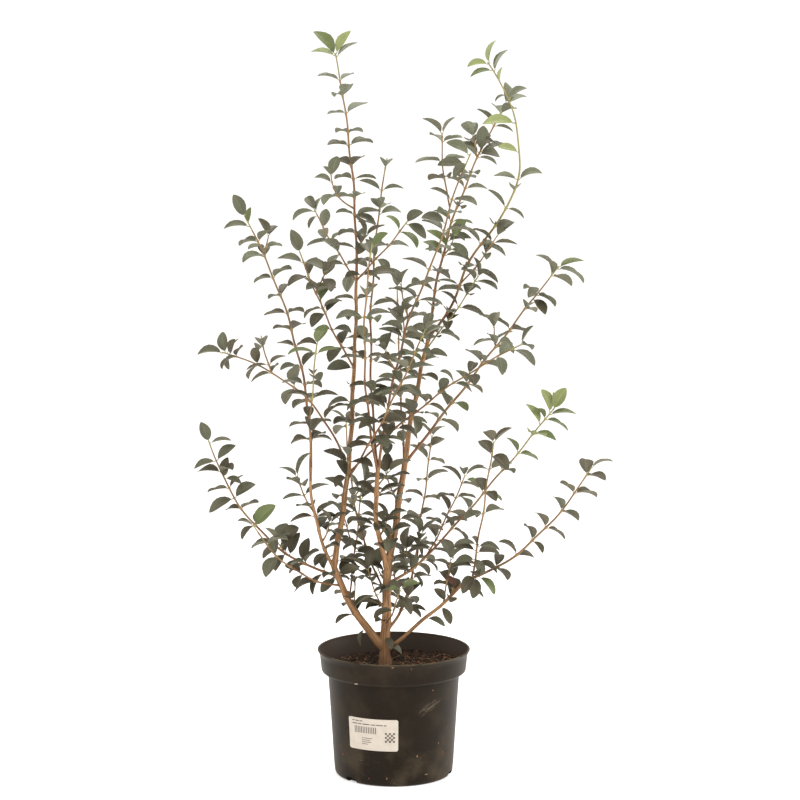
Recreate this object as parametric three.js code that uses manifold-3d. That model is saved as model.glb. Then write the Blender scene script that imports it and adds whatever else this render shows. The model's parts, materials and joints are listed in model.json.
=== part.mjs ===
// A young osmanthus shrub in a round nursery pot of five litres: pot, compost, blank label, trunk, boughs
// and leafy masses. Millimetres, +Z up, origin at the centre of the pot's flat underside, front towards -Y.
import * as THREE from 'three';
import { mergeVertices } from 'three/addons/utils/BufferGeometryUtils.js';
import Module from 'manifold-3d';

const wasm = await Module();
wasm.setup();

// Driving dimensions

const clearance = 0.3; // gap between two pieces that touch on the real plant

const pot = {
  height: 192,
  rimRadius: 115,
  lipHeight: 11, // the rim flares out over this height
  collarHeight: 35,
  collarTopRadius: 111.2, // just under the flared rim
  collarFootRadius: 109.2,
  collarRound: 5,
  wallTopRadius: 99.2, // just under the collar
  footRadius: 89.2,
  footRound: 7,
  wall: 2,
  floor: 3,
  segments: 36,
  drainNotches: 3,
  notchBearing: -46, // degrees from the front, towards the right
  notchSize: [20, 22, 8], // across, inwards and up
};

const compostLevel = 165;

const label = { width: 80, height: 50, thickness: 0.4, centreHeight: 80.5, bearing: -20.5, columns: 8 };

const trunk = {
  foot: [-13, 0, compostLevel + clearance],
  tip: [-8, 0, 320],
  bend: [-1.25, 0, 0], // keeps the foot upright, so its cut at the compost is level
  diameters: [16.4, 12],
  flare: { radius: 3.6, height: 14, lobes: 5, lobeShare: 0.12 },
  sides: 15,
  steps: 10,
};

// Limbs: each row gives the name, the parent, the share of the parent's length at which the limb leaves
// it, the tip, how far the limb's middle lies off the straight line, and the diameters at foot and tip.
const boughSides = 6;
const boughStep = 38; // length of one straight stretch of a bough
const boughs = [
  ['bough_left', 'trunk', 0.16, [-89, -15, 318], [-5.5, 0, -6], [12, 9.4]],
  ['bough_left_tall', 'bough_left', 1, [-67, -10, 465], [0, 0, 0], [9, 7.6]],
  ['bough_left_outer', 'bough_left', 0.93, [-122, -45, 475], [-12, 0, 0], [5, 4.2]],
  ['bough_left_upper', 'bough_left_tall', 1, [-58, 0, 625], [0, 0, 0], [7, 5.8]],
  ['bough_left_top', 'bough_left_upper', 1, [-55, 10, 755], [0, 0, 0], [5.4, 4.6]],
  ['bough_centre_right', 'trunk', 1, [17.5, 30, 475], [1, 0, 0], [10.8, 9]],
  ['bough_centre_left', 'trunk', 0.95, [-22, -40, 475], [-10, 0, 0], [8, 6.4]],
  ['bough_right_tall', 'bough_centre_right', 1, [55, 60, 665], [-3, 0, 0], [7.8, 5.6]],
  ['bough_right_low', 'trunk', 0.14, [110, -40, 305], [0, 0, -4], [6.2, 4.8]],
  ['bough_right_mid', 'trunk', 0.8, [55, 40, 330], [0, 0, -4], [4.8, 3.8]],
  ['bough_back', 'trunk', 0.32, [25, 80, 265], [0, 0, -6], [5, 4]],
].map(asLimb);

// Masses: each is one leafy shoot whose stem goes on from a bough near its tip, or from the trunk.
const stemSides = 4;
const stemTip = 2.2; // diameter of every stem at its tip
const masses = [
  ['mass_left_long', 'bough_left_outer', 1, [-215, -90, 850], [25, 0, 0], [4.2, stemTip]],
  ['mass_left_side', 'bough_left', 0.84, [-270, -60, 530], [-14, 0, -34], [4, stemTip]],
  ['mass_left_low', 'bough_left', 0.72, [-195, -120, 370], [0, 0, -10], [3, stemTip]],
  ['mass_left_mid', 'bough_left_tall', 0.96, [-260, 90, 630], [30, 0, 24], [3.6, stemTip]],
  ['mass_cross_inner', 'bough_left_tall', 0.9, [45, -150, 690], [0, -20, -10], [3.4, stemTip]],
  ['mass_cross_right', 'bough_left_tall', 0.96, [185, -110, 665], [0, 30, 14], [3.4, stemTip]],
  ['mass_left_upper', 'bough_left_upper', 0.95, [-135, -110, 800], [-2, 0, -8], [3, stemTip]],
  ['mass_top_left', 'bough_left_top', 1, [-85, 30, 1098], [8, 0, 0], [4, stemTip]],
  ['mass_top_back', 'bough_left_top', 0.94, [-120, 110, 845], [0, 0, -5], [2.6, stemTip]],
  ['mass_top_front', 'bough_left_top', 0.94, [20, -70, 840], [0, 0, -3], [2.6, stemTip]],
  ['mass_centre_front', 'bough_centre_left', 0.94, [-30, -170, 815], [-15, 0, 0], [3.6, stemTip]],
  ['mass_centre_back', 'bough_centre_left', 0.96, [-10, 60, 925], [-17, 0, 0], [3.8, stemTip]],
  ['mass_centre_right', 'bough_centre_left', 1, [110, -120, 940], [-19, 0, 0], [4, stemTip]],
  ['mass_right_top', 'bough_right_tall', 1, [170, 120, 1005], [-22, 0, 0], [4.2, stemTip]],
  ['mass_right_hook', 'bough_right_tall', 0.95, [140, 10, 1065], [82, 0, 14], [4.2, stemTip]],
  ['mass_right_upper', 'bough_centre_right', 0.96, [250, 100, 760], [0, 0, 0], [4.6, stemTip]],
  ['mass_back_upper', 'bough_centre_right', 0.92, [5, 190, 720], [0, 20, -10], [3.2, stemTip]],
  ['mass_right_mid', 'bough_right_mid', 1, [245, 90, 545], [0, 0, -4], [3.6, stemTip]],
  ['mass_right_back', 'bough_right_mid', 0.9, [110, 150, 430], [0, 0, -6], [2.8, stemTip]],
  ['mass_right_low', 'bough_right_low', 1, [290, -80, 480], [4, 0, -27], [4.2, stemTip]],
  ['mass_right_upright', 'bough_right_low', 0.94, [145, -130, 525], [0, 0, 0], [3.2, stemTip]],
  ['mass_back_right', 'bough_back', 1, [60, 235, 480], [0, 0, -10], [3.6, stemTip]],
  ['mass_back_left', 'trunk', 0.7, [-75, 200, 510], [-12, 0, -20], [3.4, stemTip]],
  ['mass_inner_left', 'bough_left', 0.62, [-50, 75, 415], [0, 0, -6], [2.8, stemTip]],
  ['mass_low_front', 'trunk', 0.42, [10, -95, 300], [0, 0, -6], [2.6, stemTip]],
  ['mass_left_inner', 'bough_left_outer', 0.88, [-110, -130, 668], [-4, -16, -6], [2.8, stemTip]],
].map(asLimb);

// Side shoots that stand out in the plant's outline: mass, share of its stem's length, and tip.
const sideShoots = [
  ['mass_centre_right', 0.83, [70, -100, 968]],
  ['mass_top_left', 0.3, [-92, 5, 902]],
];

const shoot = {
  internode: 45, // between one pair of leaves and the next
  bud: 3, // length of a stem beyond its last pair of leaves
  twigChance: 0.14,
  twigLength: [55, 95],
  twigAngle: 36, // degrees off the stem
  twigRise: 0.3, // share of its length that a twig turns up
  twigDiameters: [2.6, stemTip],
  twigRoom: 3, // kept free round a twig
};

const leaf = {
  length: [34, 44],
  widthShare: 0.48,
  thicknessShare: 0.04,
  crownShare: 0.09, // how far the midrib stands above the edges
  angle: [46, 66], // degrees off the stem
  curl: [48, 84], // degrees that the blade turns down from root to tip
  swerve: [-6, 6], // degrees that a leaf strays round the stem from its flat side
  faceUp: 0.8, // how much a leaf's face looks up, and how much along the stem
  faceAlong: 0.6,
  shoulders: [0.94, 0.84], // share of the full width at the two pairs of side corners
  cornerPower: 0.65, // sets the side corners further from the root
  tipAngle: 34, // the last pair of a stem stands closer to it, and is smaller
  tipShare: 0.85,
  sunk: 0.1, // length of the root beyond the stem's middle line
};

// Room that a leaf takes: rows of three balls across it, each row at a share of the length and with its
// outer balls at a share of half the width.
const leafRoom = {
  rows: [[0.12, 0.25], [0.3, 0.6], [0.5, 0.65], [0.7, 0.6], [0.9, 0.3]],
  ballShare: 0.55,
  ownShare: 0.55, // how much of that room it keeps from other leaves of its own mass
  limbStep: 5, // from one ball to the next along a limb
};

const finishes = {
  pot: { color: 0x2f2926, roughness: 0.55 },
  compost: { color: 0x3a2a20, roughness: 1 },
  label: { color: 0xe6dccd, roughness: 0.7 },
  bark: { color: 0x8a6b48, roughness: 0.85 },
  foliage: { color: 0x4c5238, roughness: 0.5 },
};

// Helpers

function asLimb([name, from, share, tip, bend, diameters]) {
  return { name, from, share, tip, bend, diameters };
}

const point = (coordinates) => new THREE.Vector3(...coordinates);
const radians = THREE.MathUtils.degToRad;
const between = THREE.MathUtils.lerp;
const up = new THREE.Vector3(0, 0, 1);
const acrossView = new THREE.Vector3(0, 1, 0);

// A repeatable number from 0 to 1 for a few whole numbers.
function chance(...keys) {
  let hash = 2166136261;
  for (const key of keys) {
    hash = Math.imul(hash ^ (key + 1), 16777619);
    hash = Math.imul(hash ^ (hash >>> 15), 2246822507);
    hash ^= hash >>> 13;
  }
  return (hash >>> 0) / 4294967296;
}

const pick = ([low, high], ...keys) => between(low, high, chance(...keys));

// A closed geometry as a solid that can be joined and cut.
function solidOf(geometry) {
  const bare = geometry.clone();
  bare.deleteAttribute('normal');
  bare.deleteAttribute('uv');
  const merged = mergeVertices(bare, 1e-4);
  return new wasm.Manifold(new wasm.Mesh({
    numProp: 3,
    vertProperties: merged.attributes.position.array,
    triVerts: new Uint32Array(merged.index.array),
  }));
}

function geometryOf(solid) {
  const mesh = solid.getMesh();
  const geometry = new THREE.BufferGeometry();
  geometry.setAttribute('position', new THREE.BufferAttribute(mesh.vertProperties, 3));
  geometry.setIndex(new THREE.BufferAttribute(mesh.triVerts, 1));
  geometry.computeVertexNormals();
  return geometry;
}

// The largest body of a solid, without loose scraps.
function mainBody(solid) {
  return solid.decompose().reduce((most, body) => (body.volume() > most.volume() ? body : most));
}

function meshOf(name, geometry, finish) {
  const mesh = new THREE.Mesh(geometry, new THREE.MeshStandardMaterial({ ...finish, metalness: 0 }));
  mesh.name = name;
  return mesh;
}

// Turns a profile of radius and height about the pot's axis.
function turned(profile) {
  const points = profile.map(([radius, height]) => new THREE.Vector2(radius, height));
  return new THREE.LatheGeometry(points, pot.segments).rotateX(Math.PI / 2);
}

// Pot, compost and label

const collarFoot = pot.height - pot.collarHeight;
const wallSlope = (pot.wallTopRadius - pot.footRadius) / collarFoot;
const wallRadiusAt = (height) => pot.footRadius + wallSlope * height;

// The inside of the pot from its floor up to the foot of its collar, drawn in by a gap.
function insideProfile(gap) {
  const { collarFootRadius, collarRound, wallTopRadius, footRadius, footRound, wall, floor } = pot;
  return [
    [0, floor + gap],
    [footRadius - wall - footRound - gap, floor + gap],
    [footRadius - wall - gap, floor + footRound + gap],
    [wallTopRadius - wall - gap, collarFoot + wall + gap],
    [collarFootRadius - wall - gap, collarFoot + collarRound + gap],
  ];
}

// Corners of a rounded edge, a quarter turn from facing down to facing out.
function roundedEdge(outerRadius, foot, size) {
  return [0, 0.5, 1].map((t) => {
    const turn = (t * Math.PI) / 2;
    return [outerRadius - size * (1 - Math.sin(turn)), foot + size * (1 - Math.cos(turn))];
  });
}

// A drain notch goes through the corner where the wall meets the underside.
function drainNotch(bearing) {
  const [across, inwards, rise] = pot.notchSize;
  return new THREE.BoxGeometry(across, inwards, 2 * rise)
    .translate(0, -pot.footRadius, 0)
    .rotateZ(radians(bearing));
}

function potGeometry() {
  const { height, rimRadius, lipHeight, wallTopRadius, wall } = pot;
  const { collarTopRadius, collarFootRadius, collarRound } = pot;
  const lip = wall / 2;
  const profile = [
    [0, 0],
    ...roundedEdge(pot.footRadius, 0, pot.footRound),
    [wallTopRadius, collarFoot - wall],
    ...roundedEdge(collarFootRadius, collarFoot, collarRound),
    [collarTopRadius, height - lipHeight],
    [rimRadius, height - wall],
    [rimRadius - lip, height],
    [rimRadius - 2 * wall, height - lip],
    [collarTopRadius - wall, height - lipHeight],
    ...insideProfile(0).reverse(),
  ];
  let solid = solidOf(turned(profile));
  for (let i = 0; i < pot.drainNotches; i++) {
    solid = solid.subtract(solidOf(drainNotch(pot.notchBearing + (i * 360) / pot.drainNotches)));
  }
  return geometryOf(solid);
}

// The compost fills the pot to over the ledge inside its collar.
function compostGeometry() {
  const profile = insideProfile(clearance);
  const [topRadius] = profile.at(-1);
  return turned([...profile, [topRadius, compostLevel], [0, compostLevel]]);
}

// The label is a thin sheet wrapped round the sloping wall.
function labelGeometry() {
  const geometry = new THREE.BoxGeometry(label.width, label.thickness, label.height, label.columns, 1, 1);
  const position = geometry.attributes.position;
  const middleRadius = wallRadiusAt(label.centreHeight);
  for (let i = 0; i < position.count; i++) {
    const height = label.centreHeight + position.getZ(i);
    const radius = wallRadiusAt(height) + clearance + label.thickness / 2 - position.getY(i);
    const turn = position.getX(i) / middleRadius;
    position.setXYZ(i, radius * Math.sin(turn), -radius * Math.cos(turn), height);
  }
  return geometry;
}

// Trunk and boughs

const paths = {};

// The line of a limb: a curve from a point on its parent to its tip.
function limbPath(limb) {
  const start = limb.foot ? point(limb.foot) : paths[limb.from].getPointAt(limb.share);
  const tip = point(limb.tip);
  const middle = start.clone().lerp(tip, 0.5).addScaledVector(point(limb.bend), 2);
  return new THREE.QuadraticBezierCurve3(start, middle, tip);
}

const taper = ([base, tip]) => (t) => between(base, tip, t) / 2;

// A direction square to a limb, turned round it by an angle.
function around(tangent, turn) {
  const side = tangent.clone().cross(acrossView).normalize();
  const front = tangent.clone().cross(side);
  return side.multiplyScalar(Math.cos(turn)).addScaledVector(front, Math.sin(turn));
}

// A closed limb along a path, its first corner turned round it, swollen on all sides by grow and drawn
// out past its tip by bud.
function limbGeometry(path, radiusAt, sides, steps, { turn = 0, grow = 0, bud = 0 } = {}) {
  const geometry = new THREE.CylinderGeometry(1, 1, 1, sides, steps);
  const position = geometry.attributes.position;
  for (let i = 0; i < position.count; i++) {
    const step = Math.round((position.getY(i) + 0.5) * steps);
    const t = step / steps;
    const tangent = path.getTangentAt(t);
    const [x, z] = [position.getX(i), position.getZ(i)];
    const angle = Math.atan2(x, z);
    const radius = Math.hypot(x, z) * (radiusAt(t, angle) + grow);
    const place = path.getPointAt(t).addScaledVector(around(tangent, turn + angle), radius);
    if (step === 0) place.addScaledVector(tangent, -grow);
    if (step === steps) place.addScaledVector(tangent, grow + bud);
    position.setXYZ(i, place.x, place.y, place.z);
  }
  return geometry;
}

// The trunk's radius, with lobes that swell into the root flare at its foot.
function trunkRadius(t, angle) {
  const { radius, height, lobes, lobeShare } = trunk.flare;
  const flare = Math.exp((-t * (trunk.tip[2] - trunk.foot[2])) / height);
  return taper(trunk.diameters)(t) + radius * flare * (1 + lobeShare * Math.cos(lobes * angle));
}

const stepsFor = (path, step) => Math.max(2, Math.round(path.getLength() / step));

// Balls along everything that is in place. A new leaf or twig keeps clear of those of other owners.
const taken = [];

function takeLimb(owner, path, radiusAt) {
  const count = Math.ceil(path.getLength() / leafRoom.limbStep);
  for (let i = 0; i <= count; i++) {
    taken.push({ owner, centre: path.getPointAt(i / count), radius: radiusAt(i / count, 0) });
  }
}

function isClear(owner, balls) {
  return balls.every((ball) => taken.every((other) => {
    const isOwn = other.owner === owner;
    if (isOwn && !other.isLeaf) return true;
    const room = ball.radius + other.radius;
    const reach = isOwn ? leafRoom.ownShare * room : room + clearance;
    return ball.centre.distanceToSquared(other.centre) > reach * reach;
  }));
}

const grownLimbs = []; // each limb swollen by the clearance, to cut its children clear of it

function addLimb(name, path, radiusAt, sides, steps) {
  const whole = solidOf(limbGeometry(path, radiusAt, sides, steps));
  const cut = grownLimbs.reduce((solid, grown) => solid.subtract(grown), whole);
  grownLimbs.push(solidOf(limbGeometry(path, radiusAt, sides, steps, { grow: clearance })));
  paths[name] = path;
  takeLimb(name, path, radiusAt);
  return meshOf(name, geometryOf(mainBody(cut)), finishes.bark);
}

// Leaves and twigs

// Where a leaf lies: its root within the stem, the way it sets off, the way its face looks, its length
// and its curl.
function leafFrame(root, tangent, outwards, angle, length, curl) {
  const along = tangent.clone().multiplyScalar(Math.cos(angle)).addScaledVector(outwards, Math.sin(angle));
  const face = tangent.clone().multiplyScalar(leaf.faceAlong).addScaledVector(up, leaf.faceUp);
  face.addScaledVector(along, -face.dot(along)).normalize();
  return { root: root.clone().addScaledVector(along, -leaf.sunk), along, face, length, curl };
}

// A point of a leaf, t along it from root to tip, to one side of the midrib and lifted off it.
function onLeaf({ root, along, face, length, curl }, t, side, lift) {
  const turn = curl * t;
  const across = along.clone().cross(face);
  return root.clone()
    .addScaledVector(along, (length * Math.sin(turn)) / curl)
    .addScaledVector(face, (-length * (1 - Math.cos(turn))) / curl + lift)
    .addScaledVector(across, side);
}

// A leaf blade: an outline of six corners round a raised middle.
function leafGeometry(frame) {
  const geometry = new THREE.SphereGeometry(1, 6, 2);
  const position = geometry.attributes.position;
  const shoulder = Math.sin(Math.PI / 3); // how far the four side corners stand off the midrib
  for (let i = 0; i < position.count; i++) {
    const [x, y, z] = [position.getX(i), position.getY(i), position.getZ(i)];
    const width = frame.length * leaf.widthShare * leaf.shoulders[x < 0 ? 0 : 1];
    const side = (z / shoulder) * (width / 2);
    const lift = frame.length * (leaf.crownShare * Math.abs(y) + (leaf.thicknessShare * y) / 2);
    const place = onLeaf(frame, ((1 + x) / 2) ** leaf.cornerPower, side, lift);
    position.setXYZ(i, place.x, place.y, place.z);
  }
  return geometry;
}

// Balls that cover a leaf, in rows along it.
function leafBalls(frame) {
  const halfWidth = (frame.length * leaf.widthShare) / 2;
  return leafRoom.rows.flatMap(([t, share]) => [-1, 0, 1].map((side) => ({
    centre: onLeaf(frame, t, side * share * halfWidth, 0),
    radius: leafRoom.ballShare * halfWidth,
    isLeaf: true,
  })));
}

// Shares of a stem's length at which its pairs of leaves stand, the last one at its tip.
function pairPlaces(path) {
  const count = stepsFor(path, shoot.internode);
  return [...Array.from({ length: count }, (_, i) => (i + 0.5) / count), 1];
}

// Opposite pairs of leaves on the flat sides of a stem, each pair turned a quarter from the one below.
function leavesOf(stem) {
  const places = pairPlaces(stem.path);
  return places.flatMap((t, pair) => {
    const isTip = pair === places.length - 1;
    const root = stem.path.getPointAt(t);
    const tangent = stem.path.getTangentAt(t);
    return [0, 1].map((side) => {
      const keys = [...stem.keys, pair, side];
      const flatSide = stem.turn + (pair + 2 * side + 0.5) * (Math.PI / 2);
      const turn = flatSide + radians(pick(leaf.swerve, ...keys, 1));
      const angle = isTip ? leaf.tipAngle : pick(leaf.angle, ...keys, 2);
      const length = pick(leaf.length, ...keys, 3) * (isTip ? leaf.tipShare : 1);
      const curl = radians(pick(leaf.curl, ...keys, 4));
      return leafFrame(root, tangent, around(tangent, turn), radians(angle), length, curl);
    });
  });
}

function twigOf(start, middle, tip, keys) {
  const path = new THREE.QuadraticBezierCurve3(start, middle, tip);
  return { path, radiusAt: taper(shoot.twigDiameters), keys, turn: chance(...keys, 9) * Math.PI };
}

// Twigs leave a stem at some of its pairs of leaves, and turn up towards their tips.
function seededTwigs(stem) {
  return pairPlaces(stem.path).slice(0, -2).flatMap((t, pair) => {
    const keys = [...stem.keys, pair];
    if (chance(...keys, 5) > shoot.twigChance) return [];
    const start = stem.path.getPointAt(t);
    const tangent = stem.path.getTangentAt(t);
    const outwards = around(tangent, stem.turn + 2 * Math.PI * chance(...keys, 6));
    const angle = radians(shoot.twigAngle);
    const away = tangent.multiplyScalar(Math.cos(angle)).addScaledVector(outwards, Math.sin(angle));
    const length = pick(shoot.twigLength, ...keys, 7);
    const middle = start.clone().addScaledVector(away, length / 2);
    const tip = start.clone().addScaledVector(away, length).addScaledVector(up, length * shoot.twigRise);
    return [twigOf(start, middle, tip, [...keys, 8])];
  });
}

// A side shoot sets off level with its tip's side and turns up to it.
function placedTwigs(name, stem) {
  return sideShoots.filter(([mass]) => mass === name).map(([, share, tip], row) => {
    const start = stem.path.getPointAt(share);
    const end = point(tip);
    const middle = end.clone().setZ(between(start.z, end.z, 0.4));
    return twigOf(start, middle, end, [...stem.keys, row, 10]);
  });
}

const twigBalls = (twig) => pairPlaces(twig.path).map((t) => ({
  centre: twig.path.getPointAt(t),
  radius: twig.radiusAt(t) + shoot.twigRoom,
}));

// A stem is square, with a ring of corners between one pair of leaves and the next.
function stemGeometry({ path, radiusAt, turn }) {
  return limbGeometry(path, radiusAt, stemSides, stepsFor(path, shoot.internode), { turn, bud: shoot.bud });
}

// Assembly

const potGroup = new THREE.Group();
const labelMesh = meshOf('label', labelGeometry(), finishes.label);
labelMesh.rotation.z = radians(label.bearing);
potGroup.add(
  meshOf('pot', potGeometry(), finishes.pot),
  meshOf('compost', compostGeometry(), finishes.compost),
  labelMesh,
);

const woodGroup = new THREE.Group();
woodGroup.add(addLimb('trunk', limbPath(trunk), trunkRadius, trunk.sides, trunk.steps));
for (const bough of boughs) {
  const path = limbPath(bough);
  woodGroup.add(addLimb(bough.name, path, taper(bough.diameters), boughSides, stepsFor(path, boughStep)));
}

// All the stems are set first, then their twigs, and last the leaves that still find room.
const shoots = masses.map((mass, index) => {
  const radiusAt = taper(mass.diameters);
  const stem = { path: limbPath(mass), radiusAt, keys: [index], turn: chance(index, 10) * Math.PI };
  takeLimb(mass.name, stem.path, radiusAt);
  return { name: mass.name, stems: [stem], leaves: [] };
});
for (const { name, stems } of shoots) {
  const offered = [...placedTwigs(name, stems[0]), ...seededTwigs(stems[0])];
  const twigs = offered.filter((twig) => isClear(name, twigBalls(twig)));
  for (const twig of twigs) takeLimb(name, twig.path, twig.radiusAt);
  stems.push(...twigs);
}
for (const { name, stems, leaves } of shoots) {
  for (const frame of stems.flatMap(leavesOf)) {
    const balls = leafBalls(frame);
    if (!isClear(name, balls)) continue;
    for (const ball of balls) taken.push({ owner: name, ...ball });
    leaves.push(frame);
  }
}

const foliageGroup = new THREE.Group();
for (const { name, stems, leaves } of shoots) {
  const pieces = [...stems.map(stemGeometry), ...leaves.map(leafGeometry)].map(solidOf);
  const fused = wasm.Manifold.union(pieces);
  const cut = grownLimbs.reduce((solid, grown) => solid.subtract(grown), fused);
  foliageGroup.add(meshOf(name, geometryOf(mainBody(cut)), finishes.foliage));
}

const pottedOsmanthus = new THREE.Group();
pottedOsmanthus.add(potGroup, woodGroup, foliageGroup);

export default pottedOsmanthus;
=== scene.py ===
import json
import math

import bpy
import numpy as np
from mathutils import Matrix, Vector, noise

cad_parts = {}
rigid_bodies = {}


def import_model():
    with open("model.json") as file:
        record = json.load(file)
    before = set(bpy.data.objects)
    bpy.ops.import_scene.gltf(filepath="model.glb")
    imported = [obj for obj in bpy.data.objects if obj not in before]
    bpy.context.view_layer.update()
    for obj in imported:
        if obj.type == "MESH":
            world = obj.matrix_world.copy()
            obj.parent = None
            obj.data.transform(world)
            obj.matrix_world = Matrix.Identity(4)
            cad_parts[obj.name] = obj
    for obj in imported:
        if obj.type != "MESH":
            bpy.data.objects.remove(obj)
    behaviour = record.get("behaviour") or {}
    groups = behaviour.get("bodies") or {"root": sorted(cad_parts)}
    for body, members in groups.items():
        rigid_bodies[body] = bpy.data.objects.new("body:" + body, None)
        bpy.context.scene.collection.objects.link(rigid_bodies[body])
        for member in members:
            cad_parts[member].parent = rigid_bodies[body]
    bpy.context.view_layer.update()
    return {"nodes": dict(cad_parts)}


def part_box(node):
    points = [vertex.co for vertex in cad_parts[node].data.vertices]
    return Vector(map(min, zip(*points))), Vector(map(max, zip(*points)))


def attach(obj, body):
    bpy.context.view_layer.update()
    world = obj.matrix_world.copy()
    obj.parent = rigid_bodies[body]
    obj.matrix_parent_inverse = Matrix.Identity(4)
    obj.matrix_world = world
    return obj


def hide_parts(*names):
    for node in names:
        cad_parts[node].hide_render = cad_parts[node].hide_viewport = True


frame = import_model()  # pot, compost, label, trunk, boughs and masses, in metres
scene = bpy.context.scene
body = "root"
up = np.array((0.0, 0.0, 1.0))
acrossView = np.array((0.0, 1.0, 0.0))
boughNodes = sorted(name for name in frame["nodes"] if name.startswith("bough_"))
massNodes = sorted(name for name in frame["nodes"] if name.startswith("mass_"))
print("frame:", len(boughNodes), "boughs and", len(massNodes), "masses")


# Helpers for node trees and materials

def fill(tree, inputs, sockets):  # links what is another node's output, and sets what is a plain value
    for key, value in sockets.items():
        if isinstance(value, bpy.types.NodeSocket):
            tree.links.new(value, inputs[key])
        else:
            inputs[key].default_value = value


def addNode(tree, kind, sockets=None, **settings):
    made = tree.nodes.new(kind)
    for key, value in settings.items():
        setattr(made, key, value)
    fill(tree, made.inputs, sockets or {})
    return made


def calc(tree, operation, first, second=0.0):
    return addNode(tree, "ShaderNodeMath", {0: first, 1: second}, operation=operation).outputs[0]


def times(tree, first, second):
    return calc(tree, "MULTIPLY", first, second)


def vectorCalc(tree, operation, first, second):
    return addNode(tree, "ShaderNodeVectorMath", {0: first, 1: second}, operation=operation).outputs[0]


def mixColour(tree, share, first, second):
    mixer = addNode(tree, "ShaderNodeMix", {0: share, 6: first, 7: second}, data_type="RGBA")
    return mixer.outputs[2]


def ramp(tree, value, low, high, start=0.0, end=1.0):
    sockets = {"Value": value, "From Min": low, "From Max": high, "To Min": start, "To Max": end}
    return addNode(tree, "ShaderNodeMapRange", sockets, interpolation_type="SMOOTHSTEP").outputs[0]


def srgb(red, green, blue):  # a colour as a screen shows it, made linear
    return tuple(((part / 255 + 0.055) / 1.055) ** 2.4 for part in (red, green, blue)) + (1.0,)


def darker(colour, share):
    return tuple(part * share for part in colour[:3]) + (1.0,)


def startGroup(name, inputs, outputs):  # an effect that several materials share
    tree = bpy.data.node_groups.new(name, "ShaderNodeTree")
    for title, kind, value in inputs:
        socket = tree.interface.new_socket(title, in_out="INPUT", socket_type="NodeSocket" + kind)
        if value is not None:
            socket.default_value = value
    for title in outputs:
        tree.interface.new_socket(title, in_out="OUTPUT", socket_type="NodeSocketFloat")
    return tree, tree.nodes.new("NodeGroupInput").outputs, tree.nodes.new("NodeGroupOutput").inputs


def useGroup(tree, group, sockets):
    return addNode(tree, "ShaderNodeGroup", sockets, node_tree=group).outputs


def startSkin(name, specular, roughness):
    skin = bpy.data.materials.new(name)
    skin.use_nodes = True
    tree = skin.node_tree
    tree.nodes.clear()
    sockets = {"Specular IOR Level": specular, "Roughness": roughness}
    shader = addNode(tree, "ShaderNodeBsdfPrincipled", sockets)
    addNode(tree, "ShaderNodeOutputMaterial", {"Surface": shader.outputs[0]})
    return skin, tree, shader.inputs


def objectPlace(tree):
    return addNode(tree, "ShaderNodeTexCoord").outputs["Object"]


def attributePlace(tree, name):
    return addNode(tree, "ShaderNodeAttribute", attribute_name=name, attribute_type="GEOMETRY").outputs


def bump(tree, height, strength, distance):
    sockets = {"Height": height, "Strength": strength, "Distance": distance}
    return addNode(tree, "ShaderNodeBump", sockets).outputs[0]


def cloudNoise(tree, place, scale, detail):
    return addNode(tree, "ShaderNodeTexNoise", {"Vector": place, "Scale": scale, "Detail": detail}).outputs[0]


def heightAt(tree, place):
    return addNode(tree, "ShaderNodeSeparateXYZ", {0: place}).outputs[2]


def drawnOut(tree, grain, stretch):  # places on a limb, drawn out along it
    squeeze = addNode(tree, "ShaderNodeCombineXYZ", {"X": 1.0, "Y": 1.0, "Z": stretch}).outputs[0]
    return vectorCalc(tree, "MULTIPLY", grain, squeeze)


# Blotches of any size: soil dust on the pot, flecks in bark and compost, cloudy greens in the leaves
def buildMottle():
    inputs = [("Place", "Vector", None)]
    inputs += [("Size", "Float", 0.01), ("Low", "Float", 0.4), ("High", "Float", 0.6)]
    tree, given, result = startGroup("mottle", inputs, ["Mask"])
    scale = calc(tree, "DIVIDE", 1.0, given["Size"])
    cloud = cloudNoise(tree, given["Place"], scale, detail=3.0)
    fill(tree, result, {"Mask": ramp(tree, cloud, given["Low"], given["High"])})
    return tree


veinLook = dict(ribEdges=(0.03, 0.16), veinEdges=(0.0, 0.14), fadeEdges=(0.5, 1.0), veinShare=0.4)


# Midrib and side veins of a leaf, read from its own places along and across the blade
def buildVeins():
    inputs = [("Blade", "Vector", None), ("Pairs", "Float", 7.0), ("Slant", "Float", 0.16)]
    tree, given, result = startGroup("leaf veins", inputs, ["Height"])
    split = addNode(tree, "ShaderNodeSeparateXYZ", {0: given["Blade"]}).outputs
    across = calc(tree, "ABSOLUTE", split[1])
    rib = ramp(tree, across, *veinLook["ribEdges"], 1.0, 0.0)
    slanted = calc(tree, "SUBTRACT", split[0], times(tree, across, given["Slant"]))
    wave = calc(tree, "PINGPONG", times(tree, slanted, given["Pairs"]), 0.5)
    vein = ramp(tree, wave, *veinLook["veinEdges"], 1.0, 0.0)
    faded = times(tree, vein, ramp(tree, across, *veinLook["fadeEdges"], 1.0, 0.0))
    fill(tree, result, {"Height": calc(tree, "MAXIMUM", rib, times(tree, faded, veinLook["veinShare"]))})
    return tree


# Fine ridges that run along a limb, read from its own places round and along it
def buildRidges():
    inputs = [("Grain", "Vector", None), ("Width", "Float", 0.0012), ("Stretch", "Float", 0.12)]
    tree, given, result = startGroup("bark ridges", inputs, ["Ridge", "Height"])
    place = drawnOut(tree, given["Grain"], given["Stretch"])
    scale = calc(tree, "DIVIDE", 1.0, given["Width"])
    cloud = cloudNoise(tree, place, scale, detail=4.0)
    fill(tree, result, {"Ridge": ramp(tree, cloud, low=0.38, high=0.62), "Height": cloud})
    return tree


mottle = buildMottle()
veins = buildVeins()
ridges = buildRidges()


def blotches(tree, place, size, low, high):
    return useGroup(tree, mottle, {"Place": place, "Size": size, "Low": low, "High": high})["Mask"]


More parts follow.
